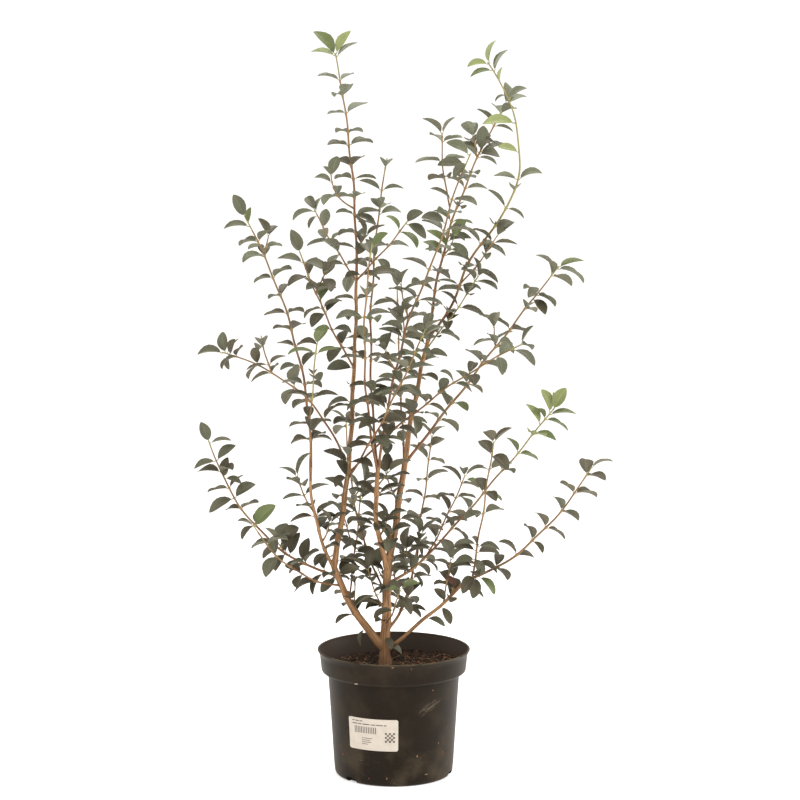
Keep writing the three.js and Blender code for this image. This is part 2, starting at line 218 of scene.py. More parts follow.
# Helpers for meshes and for pieces grown by Geometry Nodes

def addAttribute(mesh, name, kind, domain, values):
    made = mesh.attributes.new(name, kind, domain)
    made.data.foreach_set("vector" if kind == "FLOAT_VECTOR" else "value", np.ravel(values))


def newPiece(name, mesh):
    piece = bpy.data.objects.new(name, mesh)
    scene.collection.objects.link(piece)
    return piece


def plainMesh(name, verts, faces, sharpAngle=None):
    mesh = bpy.data.meshes.new(name)
    mesh.from_pydata([tuple(vert) for vert in verts], [], faces)
    mesh.validate()
    if sharpAngle is not None:
        mesh.shade_smooth()
        mesh.set_sharp_from_angle(angle=math.radians(sharpAngle))
    return mesh


def settle(piece):  # turns a piece's modifiers into its plain mesh
    graph = bpy.context.evaluated_depsgraph_get()
    shaped = piece.evaluated_get(graph)
    mesh = bpy.data.meshes.new_from_object(shaped, preserve_all_data_layers=True, depsgraph=graph)
    draft = piece.data
    piece.modifiers.clear()
    piece.data = mesh
    bpy.data.meshes.remove(draft)
    mesh.name = piece.name
    return piece


def addMaker(piece, tree, settings):
    maker = piece.modifiers.new("maker", "NODES")
    maker.node_group = tree
    for socket in tree.interface.items_tree:
        if socket.in_out == "INPUT" and socket.name in settings:
            maker[socket.identifier] = settings[socket.name]


def growPiece(name, draft, tree, settings):
    piece = newPiece(name, draft)
    addMaker(piece, tree, settings)
    return settle(piece)


def dropPiece(piece):
    mesh = piece.data
    bpy.data.objects.remove(piece)
    bpy.data.meshes.remove(mesh)


def shapeStore(name, meshes):  # a set of shapes for a tree to pick from
    store = bpy.data.collections.new(name)
    scene.collection.children.link(store)
    for index, mesh in enumerate(meshes):
        store.objects.link(bpy.data.objects.new(f"{name}.{index:02d}", mesh))
    return store


def dropStore(store):
    for piece in list(store.objects):
        dropPiece(piece)
    bpy.data.collections.remove(store)


def finishPiece(piece, slot, *nodes):
    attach(piece, body)
    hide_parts(*nodes)
    piece.data.calc_loop_triangles()
    print(piece.name, "with", len(piece.data.loop_triangles), "triangles")


def startTree(name, inputs):
    tree = bpy.data.node_groups.new(name, "GeometryNodeTree")
    tree.interface.new_socket("Geometry", in_out="INPUT", socket_type="NodeSocketGeometry")
    for title, kind in inputs:
        tree.interface.new_socket(title, in_out="INPUT", socket_type="NodeSocket" + kind)
    tree.interface.new_socket("Geometry", in_out="OUTPUT", socket_type="NodeSocketGeometry")
    return tree, tree.nodes.new("NodeGroupInput").outputs


def endTree(tree, geometry, skins):  # realized, with each skin on the faces that its mask names
    whole = addNode(tree, "GeometryNodeRealizeInstances", {"Geometry": geometry}).outputs[0]
    for skin, mask in skins:
        sockets = {"Geometry": whole, "Material": skin}
        if mask is not None:
            sockets["Selection"] = mask
        whole = addNode(tree, "GeometryNodeSetMaterial", sockets).outputs[0]
    tree.links.new(whole, tree.nodes.new("NodeGroupOutput").inputs[0])


def named(tree, name, kind):
    return addNode(tree, "GeometryNodeInputNamedAttribute", {"Name": name}, data_type=kind).outputs[0]


def smoothed(tree, geometry):
    return addNode(tree, "GeometryNodeSetShadeSmooth", {"Geometry": geometry}).outputs[0]


def storeGrain(tree, geometry, value):
    sockets = {"Geometry": geometry, "Name": "grain", "Value": value}
    return addNode(tree, "GeometryNodeStoreNamedAttribute", sockets, data_type="FLOAT_VECTOR").outputs[0]


def shapesIn(tree, collection):
    sockets = {"Collection": collection, "Separate Children": True, "Reset Children": True}
    return addNode(tree, "GeometryNodeCollectionInfo", sockets).outputs[0]


# Round tubes along lines of points, each with its own radius, for limbs, twigs and fibres
def buildTubeTree():
    tree, given = startTree("limb tubes", [("Sides", "Int"), ("Skin", "Material")])
    line = addNode(tree, "GeometryNodeMeshToCurve", {"Mesh": given["Geometry"]}).outputs[0]
    ring = addNode(tree, "GeometryNodeCurvePrimitiveCircle", {"Resolution": given["Sides"], "Radius": 1.0})
    kept = addNode(tree, "GeometryNodeCaptureAttribute", {0: ring.outputs["Curve"]})
    kept.capture_items.new("FLOAT", "turn")
    tree.links.new(addNode(tree, "GeometryNodeSplineParameter").outputs["Factor"], kept.inputs[1])
    girth = named(tree, "girth", "FLOAT")
    sockets = {"Curve": line, "Profile Curve": kept.outputs[0], "Scale": girth, "Fill Caps": True}
    tube = addNode(tree, "GeometryNodeCurveToMesh", sockets).outputs[0]
    angle = times(tree, kept.outputs[1], 2 * math.pi)
    onSide = times(tree, calc(tree, "COSINE", angle), girth)
    onFront = times(tree, calc(tree, "SINE", angle), girth)
    place = addNode(tree, "ShaderNodeCombineXYZ", {0: onSide, 1: onFront, 2: named(tree, "run", "FLOAT")})
    grained = storeGrain(tree, tube, place.outputs[0])
    endTree(tree, smoothed(tree, grained), [(given["Skin"], None)])
    return tree


# Bark relief on limbs that were melted together, with the grain taken back from their first tubes
def buildReliefTree():
    inputs = [("Tubes", "Object"), ("Depth", "Float"), ("Ridge", "Float"), ("Stretch", "Float")]
    inputs.append(("Skin", "Material"))
    tree, given = startTree("bark relief", inputs)
    tubes = addNode(tree, "GeometryNodeObjectInfo", {"Object": given["Tubes"]}).outputs["Geometry"]
    sockets = {"Mesh": tubes, "Value": named(tree, "grain", "FLOAT_VECTOR")}
    grain = addNode(tree, "GeometryNodeSampleNearestSurface", sockets, data_type="FLOAT_VECTOR").outputs[0]
    grained = storeGrain(tree, given["Geometry"], grain)
    place = drawnOut(tree, named(tree, "grain", "FLOAT_VECTOR"), given["Stretch"])
    scale = calc(tree, "DIVIDE", 1.0, given["Ridge"])
    cloud = cloudNoise(tree, place, scale, detail=2.0)
    lift = times(tree, calc(tree, "SUBTRACT", cloud, 0.5), given["Depth"])
    normal = addNode(tree, "GeometryNodeInputNormal").outputs[0]
    shift = addNode(tree, "ShaderNodeVectorMath", {0: normal, "Scale": lift}, operation="SCALE").outputs[0]
    rough = addNode(tree, "GeometryNodeSetPosition", {"Geometry": grained, "Offset": shift}).outputs[0]
    endTree(tree, smoothed(tree, rough), [(given["Skin"], None)])
    return tree


# Leaves on points that say which way each one sets off, which way it faces, its length and its shape
def buildLeafTree():
    inputs = [("Shapes", "Collection")]
    inputs += [(title, "Material") for title in ("Blade", "Underside", "Stalk")]
    tree, given = startTree("leaf pairs", inputs)
    along, face = named(tree, "along", "FLOAT_VECTOR"), named(tree, "face", "FLOAT_VECTOR")
    axes = {"Primary Axis": along, "Secondary Axis": face}
    turn = addNode(tree, "FunctionNodeAxesToRotation", axes, primary_axis="X", secondary_axis="Z").outputs[0]
    sockets = {
        "Points": given["Geometry"], "Instance": shapesIn(tree, given["Shapes"]), "Pick Instance": True,
        "Instance Index": named(tree, "shape", "INT"), "Rotation": turn,
        "Scale": named(tree, "size", "FLOAT"),
    }
    leaves = addNode(tree, "GeometryNodeInstanceOnPoints", sockets).outputs[0]
    skins = [
        (given["Blade"], None),
        (given["Underside"], named(tree, "under", "BOOLEAN")),
        (given["Stalk"], named(tree, "stalk", "BOOLEAN")),
    ]
    endTree(tree, leaves, skins)
    return tree


# Loose bits strewn over the open faces of a surface, each turned and sized by chance
def buildStrewTree():
    inputs = [
        ("Bits", "Collection"), ("Density", "Float"), ("Smallest", "Float"), ("Largest", "Float"),
        ("Tumble", "Float"), ("Seed", "Int"), ("Skin", "Material"),
    ]
    tree, given = startTree("strewn bits", inputs)
    density = times(tree, given["Density"], named(tree, "open", "FLOAT"))
    sockets = {"Mesh": given["Geometry"], "Density": density, "Seed": given["Seed"]}
    points = addNode(tree, "GeometryNodeDistributePointsOnFaces", sockets)
    sockets = {0: (-1.0, -1.0, -1.0), 1: (1.0, 1.0, 1.0), "Seed": given["Seed"]}
    tilt = addNode(tree, "FunctionNodeRandomValue", sockets, data_type="FLOAT_VECTOR")
    tumble = given["Tumble"]
    reach = addNode(tree, "ShaderNodeCombineXYZ", {0: tumble, 1: tumble, 2: math.pi}).outputs[0]
    angles = vectorCalc(tree, "MULTIPLY", tilt.outputs[0], reach)
    euler = addNode(tree, "FunctionNodeEulerToRotation", {0: angles})
    sockets = {"Rotation": points.outputs["Rotation"], "Rotate By": euler.outputs[0]}
    turn = addNode(tree, "FunctionNodeRotateRotation", sockets, rotation_space="LOCAL").outputs[0]
    sockets = {2: given["Smallest"], 3: given["Largest"], "Seed": calc(tree, "ADD", given["Seed"], 1.0)}
    size = addNode(tree, "FunctionNodeRandomValue", sockets, data_type="FLOAT")
    sockets = {
        "Points": points.outputs["Points"], "Instance": shapesIn(tree, given["Bits"]), "Pick Instance": True,
        "Rotation": turn, "Scale": size.outputs[1],
    }
    endTree(tree, addNode(tree, "GeometryNodeInstanceOnPoints", sockets).outputs[0], [(given["Skin"], None)])
    return tree


tubeTree = buildTubeTree()
reliefTree = buildReliefTree()
leafTree = buildLeafTree()
strewTree = buildStrewTree()
print("node trees ready")


# Camera, floor and soft studio light

studio = dict(
    cameraPlace=(0.0095, -4.0, 1.11), cameraPitch=7.7, lens=121.9, sensor=36.0, sight=100.0,
    floorRadius=30.0, floorSides=96, floorColour=(0.92, 0.92, 0.92, 1.0), floorGlow=0.5,
    skyLight=0.74, skySeen=1.1, skyColour=(1.0, 0.957, 0.900, 1.0),
    boxes=[  # place, aim, width, watts
        ((-1.1, -1.5, 2.1), (0.0, 0.0, 0.9), 1.4, 28.0),
        ((1.5, -0.9, 1.7), (0.0, 0.0, 0.7), 1.2, 17.0),
        ((0.2, 0.5, 2.3), (0.0, 0.0, 0.7), 1.3, 22.0),
        ((1.7, 0.3, 0.5), (0.0, 0.0, 0.1), 0.9, 13.0),
    ],
)


def buildStudio():
    camera = bpy.data.objects.new("camera", bpy.data.cameras.new("camera"))
    camera.data.lens = studio["lens"]
    camera.data.sensor_width = studio["sensor"]
    camera.data.clip_end = studio["sight"]
    camera.location = studio["cameraPlace"]
    camera.rotation_euler = (math.radians(90 - studio["cameraPitch"]), 0.0, 0.0)
    scene.collection.objects.link(camera)
    scene.camera = camera
    for index, (place, aim, width, watts) in enumerate(studio["boxes"]):
        light = bpy.data.lights.new(f"softbox {index}", "AREA")
        light.size = width
        light.energy = watts
        lamp = bpy.data.objects.new(light.name, light)
        lamp.location = place
        lamp.rotation_euler = (Vector(aim) - Vector(place)).to_track_quat("-Z", "Y").to_euler()
        scene.collection.objects.link(lamp)
    sides, reach = studio["floorSides"], studio["floorRadius"]
    angles = np.arange(sides) * 2 * math.pi / sides
    ring = [(reach * math.cos(angle), reach * math.sin(angle), 0.0) for angle in angles]
    floor = newPiece("floor", plainMesh("floor", ring, [tuple(range(sides))]))
    skin, tree, shader = startSkin("pale floor", specular=0.1, roughness=0.9)
    pale, glow = studio["floorColour"], studio["floorGlow"]
    fill(tree, shader, {"Base Color": pale, "Emission Color": pale, "Emission Strength": glow})
    floor.data.materials.append(skin)
    world = bpy.data.worlds.new("white room")
    world.use_nodes = True
    tree = world.node_tree
    tree.nodes.clear()
    seen = addNode(tree, "ShaderNodeLightPath").outputs["Is Camera Ray"]
    strength = ramp(tree, seen, 0.0, 1.0, studio["skyLight"], studio["skySeen"])
    colour = mixColour(tree, seen, studio["skyColour"], (1.0, 1.0, 1.0, 1.0))
    sky = addNode(tree, "ShaderNodeBackground", {"Color": colour, "Strength": strength})
    addNode(tree, "ShaderNodeOutputWorld", {"Surface": sky.outputs[0]})
    scene.world = world
    scene.view_settings.view_transform = "Standard"


buildStudio()
print("studio ready")


# Pot

pot = dict(
    height=0.192, rimRadius=0.115, lipHeight=0.011, collarHeight=0.035, collarTopRadius=0.1112,
    collarFootRadius=0.1092, collarRound=0.005, wallTopRadius=0.0992, footRadius=0.0892, footRound=0.007,
    wall=0.002, floor=0.003, rimWall=0.003, ledgeRound=0.0012,
    segments=160, notches=3, notchBearing=-46.0, notchSize=(0.020, 0.022, 0.008),
    baseRise=0.0016, baseRing=0.070, baseSlope=0.002,  # the underside is let in inside its standing ring
    wallFrom=0.02, wallShort=0.006, flare=1.6,  # the plain stretch of the wall, and how the rim flares
    lipLean=0.0006, lipInside=0.005, collarInside=0.001, innerMiddle=0.08, innerFoot=0.012,
    # lining, inside the collar: dusty, and painted lighter as if lit from above
    black=srgb(30, 25, 20), lining=srgb(78, 69, 62), dust=srgb(92, 80, 64), pale=srgb(132, 118, 98),
    gloss=(1.0, 0.86, 0.72, 1.0), ior=1.2, sheen=0.044, sheenColour=(1.0, 0.82, 0.62, 1.0),
    dustTop=0.10, dustShares=(0.44, 0.14), gritTop=0.12, gritShares=(0.9, 0.15),  # from the foot up
    smearPlace=(0.054, -0.082, 0.121), smearTurn=-34.0, smearSize=(0.024, 0.06, 0.008),
    smearDrag=(0.3, 1.0, 1.0), smearShare=0.4, wornEdge=(0.0026, 0.0004), wornShare=0.75,
    roughness=0.44, dustRoughness=0.4, grainScale=900.0,
)
collarFoot = pot["height"] - pot["collarHeight"]


def wallRadius(height):
    return pot["footRadius"] + (pot["wallTopRadius"] - pot["footRadius"]) * height / collarFoot


def arc(centre, radius, start, end, steps):  # points of a rounded corner, in radius and height
    angles = np.radians(np.linspace(start, end, steps))
    return [(centre[0] + radius * math.cos(a), centre[1] + radius * math.sin(a)) for a in angles]


def turnedMesh(name, profile, segments, sharpAngle):  # a profile that starts and ends on the axis, turned
    verts = [(0.0, 0.0, profile[0][1]), (0.0, 0.0, profile[-1][1])]
    faces = []
    angles = np.arange(segments) * 2 * math.pi / segments
    rings = profile[1:-1]
    for radius, height in rings:
        verts += [(radius * math.sin(a), -radius * math.cos(a), height) for a in angles]
    for step in range(segments):
        after = (step + 1) % segments
        last = 2 + (len(rings) - 1) * segments
        faces.append((0, 2 + after, 2 + step))
        faces.append((1, last + step, last + after))
        for ring in range(len(rings) - 1):
            low = 2 + ring * segments
            high = low + segments
            faces.append((low + step, low + after, high + after, high + step))
    return plainMesh(name, verts, faces, sharpAngle)


def potProfile():
    foot, high, rim, wall = pot["footRadius"], pot["height"], pot["rimRadius"], pot["wall"]
    lip, ledge, turn, collarTurn = pot["rimWall"] / 2, pot["ledgeRound"], pot["footRound"], pot["collarRound"]
    wallTop, collarLow, collarHigh = pot["wallTopRadius"], pot["collarFootRadius"], pot["collarTopRadius"]
    lipFoot = high - pot["lipHeight"]
    base, rise, middle, low = pot["baseRing"], pot["baseRise"], pot["innerMiddle"], pot["floor"]
    profile = [(0.0, rise), (base, rise), (base + pot["baseSlope"], 0.0)]
    profile += arc((foot - turn, turn), turn, -90, 0, steps=8)
    profile += [(wallRadius(z), z) for z in np.linspace(pot["wallFrom"], collarFoot - pot["wallShort"], 9)]
    profile += arc((wallTop + ledge, collarFoot - 2 * ledge), ledge, 180, 110, steps=5)
    profile += arc((collarLow - collarTurn, collarFoot + collarTurn), collarTurn, -90, 0, steps=8)
    for share in (0.3, 0.6, 0.9, 1.0):
        height = collarFoot + collarTurn + (lipFoot - collarFoot - collarTurn) * share
        profile.append((collarLow + (collarHigh - collarLow) * share, height))
    for share in (0.2, 0.4, 0.6, 0.8):  # the rim flares out to its rounded edge
        radius = collarHigh + (rim - collarHigh) * share ** pot["flare"]
        profile.append((radius, lipFoot + (high - lip - lipFoot) * share))
    profile += arc((rim - lip, high - lip), lip, 0, 190, steps=12)
    profile.append((rim - 2 * lip - pot["lipLean"], high - pot["lipInside"]))
    profile.append((collarHigh - wall, lipFoot - pot["collarInside"]))
    profile += [(collarLow - wall, collarFoot + collarTurn), (wallTop - wall, collarFoot + wall)]
    profile += [(wallRadius(middle) - wall, middle), (foot - wall, pot["innerFoot"])]
    profile += [(foot - wall - turn, low), (0.0, low)]
    return profile


def boxMesh(name, size, place, bearing):
    corners = np.array([(x, y, z) for x in (-1, 1) for y in (-1, 1) for z in (-1, 1)])
    corners = corners * np.array(size) / 2 + np.array(place)
    turn = math.radians(bearing)
    cos, sin = math.cos(turn), math.sin(turn)
    verts = [(x * cos - y * sin, x * sin + y * cos, z) for x, y, z in corners]
    faces = [(0, 1, 3, 2), (4, 6, 7, 5), (0, 4, 5, 1), (2, 3, 7, 6), (0, 2, 6, 4), (1, 5, 7, 3)]
    return plainMesh(name, verts, faces)


def potSkin(name, black):
    skin, tree, shader = startSkin(name, specular=0.4, roughness=0.5)
    fill(tree, shader, {"Specular Tint": pot["gloss"], "IOR": pot["ior"]})
    sheen, tint = pot["sheen"], pot["sheenColour"]
    fill(tree, shader, {"Sheen Weight": sheen, "Sheen Roughness": 0.5, "Sheen Tint": tint})
    place = objectPlace(tree)
    height = heightAt(tree, place)
    cloud = blotches(tree, place, size=0.045, low=0.42, high=0.75)
    dust = times(tree, cloud, ramp(tree, height, 0.0, pot["dustTop"], *pot["dustShares"]))
    base = mixColour(tree, dust, black, pot["dust"])
    speck = blotches(tree, place, size=0.0022, low=0.70, high=0.76)
    grit = times(tree, speck, ramp(tree, height, 0.0, pot["gritTop"], *pot["gritShares"]))
    base = mixColour(tree, grit, base, pot["pale"])
    sockets = {"Vector": place, "Location": pot["smearPlace"], "Scale": pot["smearSize"]}
    sockets["Rotation"] = (0.0, math.radians(pot["smearTurn"]), 0.0)
    patch = addNode(tree, "ShaderNodeMapping", sockets, vector_type="TEXTURE").outputs[0]
    blob = addNode(tree, "ShaderNodeTexGradient", {"Vector": patch}, gradient_type="SPHERICAL").outputs[1]
    drawn = vectorCalc(tree, "MULTIPLY", patch, pot["smearDrag"])
    drag = blotches(tree, drawn, size=0.14, low=0.44, high=0.68)
    smear = times(tree, ramp(tree, blob, low=0.0, high=0.5), drag)
    base = mixColour(tree, times(tree, smear, pot["smearShare"]), base, pot["pale"])
    rim = ramp(tree, height, *(pot["height"] - edge for edge in pot["wornEdge"]))
    worn = times(tree, blotches(tree, place, size=0.02, low=0.3, high=0.62), pot["wornShare"])
    base = mixColour(tree, times(tree, rim, worn), base, pot["dust"])
    rough = calc(tree, "ADD", times(tree, dust, pot["dustRoughness"]), pot["roughness"])
    grain = cloudNoise(tree, place, pot["grainScale"], detail=2.0)
    relief = bump(tree, calc(tree, "ADD", grain, smear), strength=0.25, distance=0.0004)
    fill(tree, shader, {"Base Color": base, "Roughness": rough, "Normal": relief})
    return skin


def makePot():
    piece = newPiece("nursery_pot", turnedMesh("nursery_pot", potProfile(), pot["segments"], sharpAngle=32))
    across, inwards, rise = pot["notchSize"]
    cutters = []
    for index in range(pot["notches"]):
        bearing = pot["notchBearing"] + index * 360 / pot["notches"]
        mesh = boxMesh("notch", (across, inwards, 2 * rise), (0.0, -pot["footRadius"], 0.0), bearing)
        cutters.append(newPiece(f"notch {index}", mesh))
        cut = piece.modifiers.new(f"notch {index}", "BOOLEAN")
        cut.object = cutters[-1]
        cut.solver = "EXACT"
    settle(piece)
    for cutter in cutters:
        dropPiece(cutter)
    mesh = piece.data
    mesh.materials.clear()
    mesh.materials.append(potSkin("black pot plastic", pot["black"]))
    mesh.materials.append(potSkin("dusty pot lining", pot["lining"]))
    for face in mesh.polygons:  # the inside of the collar is paler: partly dust, partly painted light as if lit from above
        looksIn = face.normal.x * face.center.x + face.normal.y * face.center.y < 0
        face.material_index = int(looksIn and face.center.z > collarFoot)
    finishPiece(piece, "pot_plastic", "pot")


makePot()


# Label: a plain wrapped sticker with rows of bars and squares that say nothing

label = dict(
    width=0.079, height=0.0485, thickness=0.0004, centreHeight=0.0805, bearing=-19.8, corner=0.003,
    gap=0.0002, columns=40, cornerRows=6, sideRows=9,
    paper=srgb(199, 189, 176), ink=srgb(92, 87, 82), inkLift=0.00012, inkSink=0.00002,
)
bars = dict(  # rows of short bars, a run of stripes, a column of bars and a chequer, from the label's middle
    rows=((0.0205, (0.004, 0.006, 0.004)), (0.0160, (0.009, 0.005, 0.012, 0.007, 0.010, 0.004))),
    rowLeft=-0.0325, rowTall=0.0014, rowGap=0.0016,
    stripes=13, stripeLeft=-0.0285, stripePitch=0.0028, stripeWidth=0.0013, stripeEnds=(0.0015, 0.0115),
    lines=(0.017, 0.013, 0.015, 0.010), lineLeft=-0.0165, lineTop=-0.0055, linePitch=0.0030, lineTall=0.0009,
    squares=5, square=0.0030, squareLeft=0.0197, squareFoot=-0.0107,
)


def onLabel(across, along, lift):  # a place on the label: across to the right, up, and out from the wall
    turn = across / wallRadius(label["centreHeight"]) + math.radians(label["bearing"])
    height = label["centreHeight"] + along
    radius = wallRadius(height) + label["gap"] + lift
    return (radius * math.sin(turn), -radius * math.cos(turn), height)


def sheetOnPot(rows, columns, thickness, lift):  # a closed sheet from rows of half width, middle and height
    verts, faces = [], []
    steps = np.linspace(-1.0, 1.0, columns + 1)
    for out in (lift, lift + thickness):
        for half, middle, along in rows:
            verts += [onLabel(middle + half * step, along, out) for step in steps]
    wide, layer = columns + 1, (columns + 1) * len(rows)
    for row in range(len(rows) - 1):
        for column in range(columns):
            spot = row * wide + column
            back = (spot, spot + wide, spot + wide + 1, spot + 1)
            faces.append(back)
            faces.append(tuple(corner + layer for corner in reversed(back)))
    rim = list(range(wide)) + [row * wide + columns for row in range(1, len(rows))]
    rim += list(range(layer - 2, layer - wide - 1, -1))
    rim += [row * wide for row in range(len(rows) - 2, 0, -1)]
    for spot, after in zip(rim, rim[1:] + rim[:1]):
        faces.append((spot, after, after + layer, spot + layer))
    return verts, faces


def labelRows():
    half, tall, corner = label["width"] / 2, label["height"] / 2, label["corner"]
    rows = []
    low = np.linspace(-tall, corner - tall, label["cornerRows"])
    sides = np.linspace(-1, 1, label["sideRows"]) * (tall - corner)
    high = np.linspace(tall - corner, tall, label["cornerRows"])
    for along in np.concatenate((low, sides, high)):
        past = max(0.0, abs(along) - (tall - corner))
        rows.append((half - corner + math.sqrt(max(0.0, corner ** 2 - past ** 2)), 0.0, along))
    return [row for index, row in enumerate(rows) if index == 0 or row[2] > rows[index - 1][2] + 1e-6]


def printBars():  # left, bottom, right and top of each inked bar
    made = []
    for top, widths in bars["rows"]:
        left = bars["rowLeft"]
        for width in widths:
            made.append((left, top - bars["rowTall"], left + width, top))
            left += width + bars["rowGap"]
    low, high = bars["stripeEnds"]
    for index in range(bars["stripes"]):
        left = bars["stripeLeft"] + index * bars["stripePitch"]
        made.append((left, low, left + bars["stripeWidth"], high))
    left = bars["lineLeft"]
    for index, width in enumerate(bars["lines"]):
        top = bars["lineTop"] - index * bars["linePitch"]
        made.append((left, top - bars["lineTall"], left + width, top))
    size = bars["square"]
    for row in range(bars["squares"]):
        for column in range(row % 2, bars["squares"], 2):
            left, bottom = bars["squareLeft"] + column * size, bars["squareFoot"] + row * size
            made.append((left, bottom, left + size, bottom + size))
    return made


def paperSkin(name, colour, shade):
    skin, tree, shader = startSkin(name, specular=0.3, roughness=0.55)
    cloud = blotches(tree, objectPlace(tree), size=0.012, low=0.35, high=0.75)
    base = mixColour(tree, cloud, colour, darker(colour, shade))
    rough = ramp(tree, cloud, 0.0, 1.0, start=0.42, end=0.6)
    fill(tree, shader, {"Base Color": base, "Roughness": rough})
    return skin


def makeLabel():
    verts, faces = sheetOnPot(labelRows(), label["columns"], label["thickness"], lift=0.0)
    sheet = newPiece("sticker", plainMesh("sticker", verts, faces, sharpAngle=40))
    sheet.data.materials.append(paperSkin("sticker paper", label["paper"], shade=0.9))
    finishPiece(sheet, "label_sheet", "label")
    verts, faces = [], []
    for left, bottom, right, top in printBars():
        rows = [((right - left) / 2, (left + right) / 2, along) for along in (bottom, top)]
        lift = label["thickness"] - label["inkSink"]
        barVerts, barFaces = sheetOnPot(rows, columns=2, thickness=label["inkLift"], lift=lift)
        faces += [tuple(corner + len(verts) for corner in face) for face in barFaces]
        verts += barVerts
    ink = newPiece("sticker_print", plainMesh("sticker_print", verts, faces))
    ink.data.materials.append(paperSkin("printed grey", label["ink"], shade=0.8))
    finishPiece(ink, "label_sheet", "label")


makeLabel()


# Compost, with crumbs, bark chips, grit and fibres on it

compost = dict(
    level=0.165, edgeRadius=0.1068,
    heave=0.0045, heaveSize=0.030, heaveSlice=0.3, rough=0.0016, roughSize=0.006, roughSlice=1.7,
    bank=0.006, bankTurn=-38.0,  # the surface climbs towards the right at the front
    rings=34, segments=140, soil=srgb(74, 57, 46), soilDark=srgb(34, 26, 21),
    gap=0.0006, floorGap=0.0005, footTurn=0.008, edgeGap=0.001,
    litterLeast=0.06, litterWidth=0.2, litterSlant=0.5,
)
strewn = dict(  # bits per square metre, their sizes, how flat they are and how far they tumble
    crumbs=dict(density=90000, sizes=(0.0012, 0.0042), flat=0.8, tumble=3.1, seed=3),
    chips=dict(density=7500, sizes=(0.0045, 0.0105), flat=0.24, tumble=0.6, seed=11),
    flakes=dict(density=7400, sizes=(0.003, 0.0075), flat=0.12, tumble=0.8, seed=19),
    grit=dict(density=420, sizes=(0.0012, 0.0026), flat=0.9, tumble=3.1, seed=27),
)
strewnColours = dict(
    crumbs=srgb(61, 48, 39), chips=srgb(118, 75, 49), flakes=srgb(144, 112, 80), grit=srgb(196, 184, 164),
)
crumb = dict(shapes=6, sides=5, height=0.45, radius=0.85, smallest=0.7, spread=0.6, width=0.36)
fibres = dict(
    count=120, length=(0.012, 0.045), radius=(0.00018, 0.00055), colour=srgb(160, 132, 98), sides=5, steps=10,
    reach=0.097, limit=0.105, least=0.2, curve=2.4, lift=0.0008, arch=0.004, taper=0.6,
    strawPoints=9, strawLift=0.0022, strawTaper=0.4,
    draws=dict(reach=1, bearing=2, heading=3, curve=4, length=5, radius=6, kept=7, arch=8),
)
straws = [  # long straws that lie on top: start, heading, length and radius
    (0.030, -0.078, 24.0, 0.040, 0.0009), (0.052, -0.052, 40.0, 0.044, 0.0007),
    (0.064, -0.030, -12.0, 0.026, 0.0007), (0.026, -0.040, -50.0, 0.014, 0.0008),
    (-0.084, -0.046, 20.0, 0.016, 0.0006),
]
strays = [  # bits stuck to the outside of the pot: bearing, height, width, length and kind
    (-0.5, 0.1885, 0.0050, 0.0040, "flakes"), (13.4, 0.1843, 0.0024, 0.0060, "chips"),
    (36.4, 0.1457, 0.0030, 0.0034, "flakes"), (-30.3, 0.1590, 0.0060, 0.0036, "grit"),
    (-55.9, 0.0415, 0.0032, 0.0070, "chips"), (52.9, 0.0446, 0.0044, 0.0100, "chips"),
    (22.4, 0.0468, 0.0024, 0.0056, "flakes"), (32.2, 0.0169, 0.0064, 0.0026, "flakes"),
    (-6.5, 0.0140, 0.0024, 0.0056, "flakes"), (45.8, 0.0616, 0.0022, 0.0044, "flakes"),
    (58.3, 0.0817, 0.0026, 0.0050, "chips"), (-24.0, 0.0120, 0.0030, 0.0030, "chips"),
]
strayFlat = 0.2


def chance(*keys):  # the same number from 0 to 1 for the same keys, by a small hash
    mix = 2166136261
    for key in keys:
        mix = ((mix ^ (int(key) + 1)) * 16777619) & 0xFFFFFFFF
    mix = ((mix ^ (mix >> 15)) * 2246822507) & 0xFFFFFFFF
    return (mix ^ (mix >> 13)) / 4294967296


def pick(limits, *keys):
    return limits[0] + (limits[1] - limits[0]) * chance(*keys)


def compostTop(x, y):
    bank = math.radians(compost["bankTurn"])
    slope = (x * math.cos(bank) + y * math.sin(bank)) / compost["edgeRadius"]
    heave = noise.noise(Vector((x, y, compost["heaveSlice"])) / compost["heaveSize"]) * compost["heave"]
    rough = noise.noise(Vector((x, y, compost["roughSlice"])) / compost["roughSize"]) * compost["rough"]
    return compost["level"] + compost["bank"] * slope * abs(slope) + heave + rough


def litterShare(x, y):  # how thickly chips and fibres lie, from 0 at the back left to 1 at the front right
    return min(1.0, max(0.0, 0.5 + (x - compost["litterSlant"] * y) / compost["litterWidth"]))


def crumbMesh(name, index, flat):  # a rough lump, or a thin flake where flat is small
    golden = math.pi * (3 - math.sqrt(5))
    sides, tall, wide = crumb["sides"], crumb["height"], crumb["radius"]
    rings = [(1, 1.0, 0.0), (sides, tall, wide), (sides, -tall, wide), (1, -1.0, 0.0)]
    verts = []
    for ring, (count, height, radius) in enumerate(rings):
        for step in range(count):
            turn = step * 2 * math.pi / sides + ring * golden
            size = crumb["smallest"] + crumb["spread"] * chance(index, ring, step)
            x, y = radius * math.cos(turn) * size / 2, radius * math.sin(turn) * size * crumb["width"]
            verts.append((x, y, height * size * flat / 2))
    low = 1 + sides
    shift = min(range(sides), key=lambda step: math.dist(verts[1][:2], verts[low + step][:2]))
    tops, bottoms, belt = [], [], []
    for step in range(sides):
        after = (step + 1) % sides
        tops.append((0, 1 + step, 1 + after))
        bottoms.append((low + sides, low + after, low + step))
        under, underAfter = low + (step + shift) % sides, low + (after + shift) % sides
        belt += [(1 + step, under, underAfter), (1 + step, underAfter, 1 + after)]
    return plainMesh(name, verts, tops + bottoms + belt)


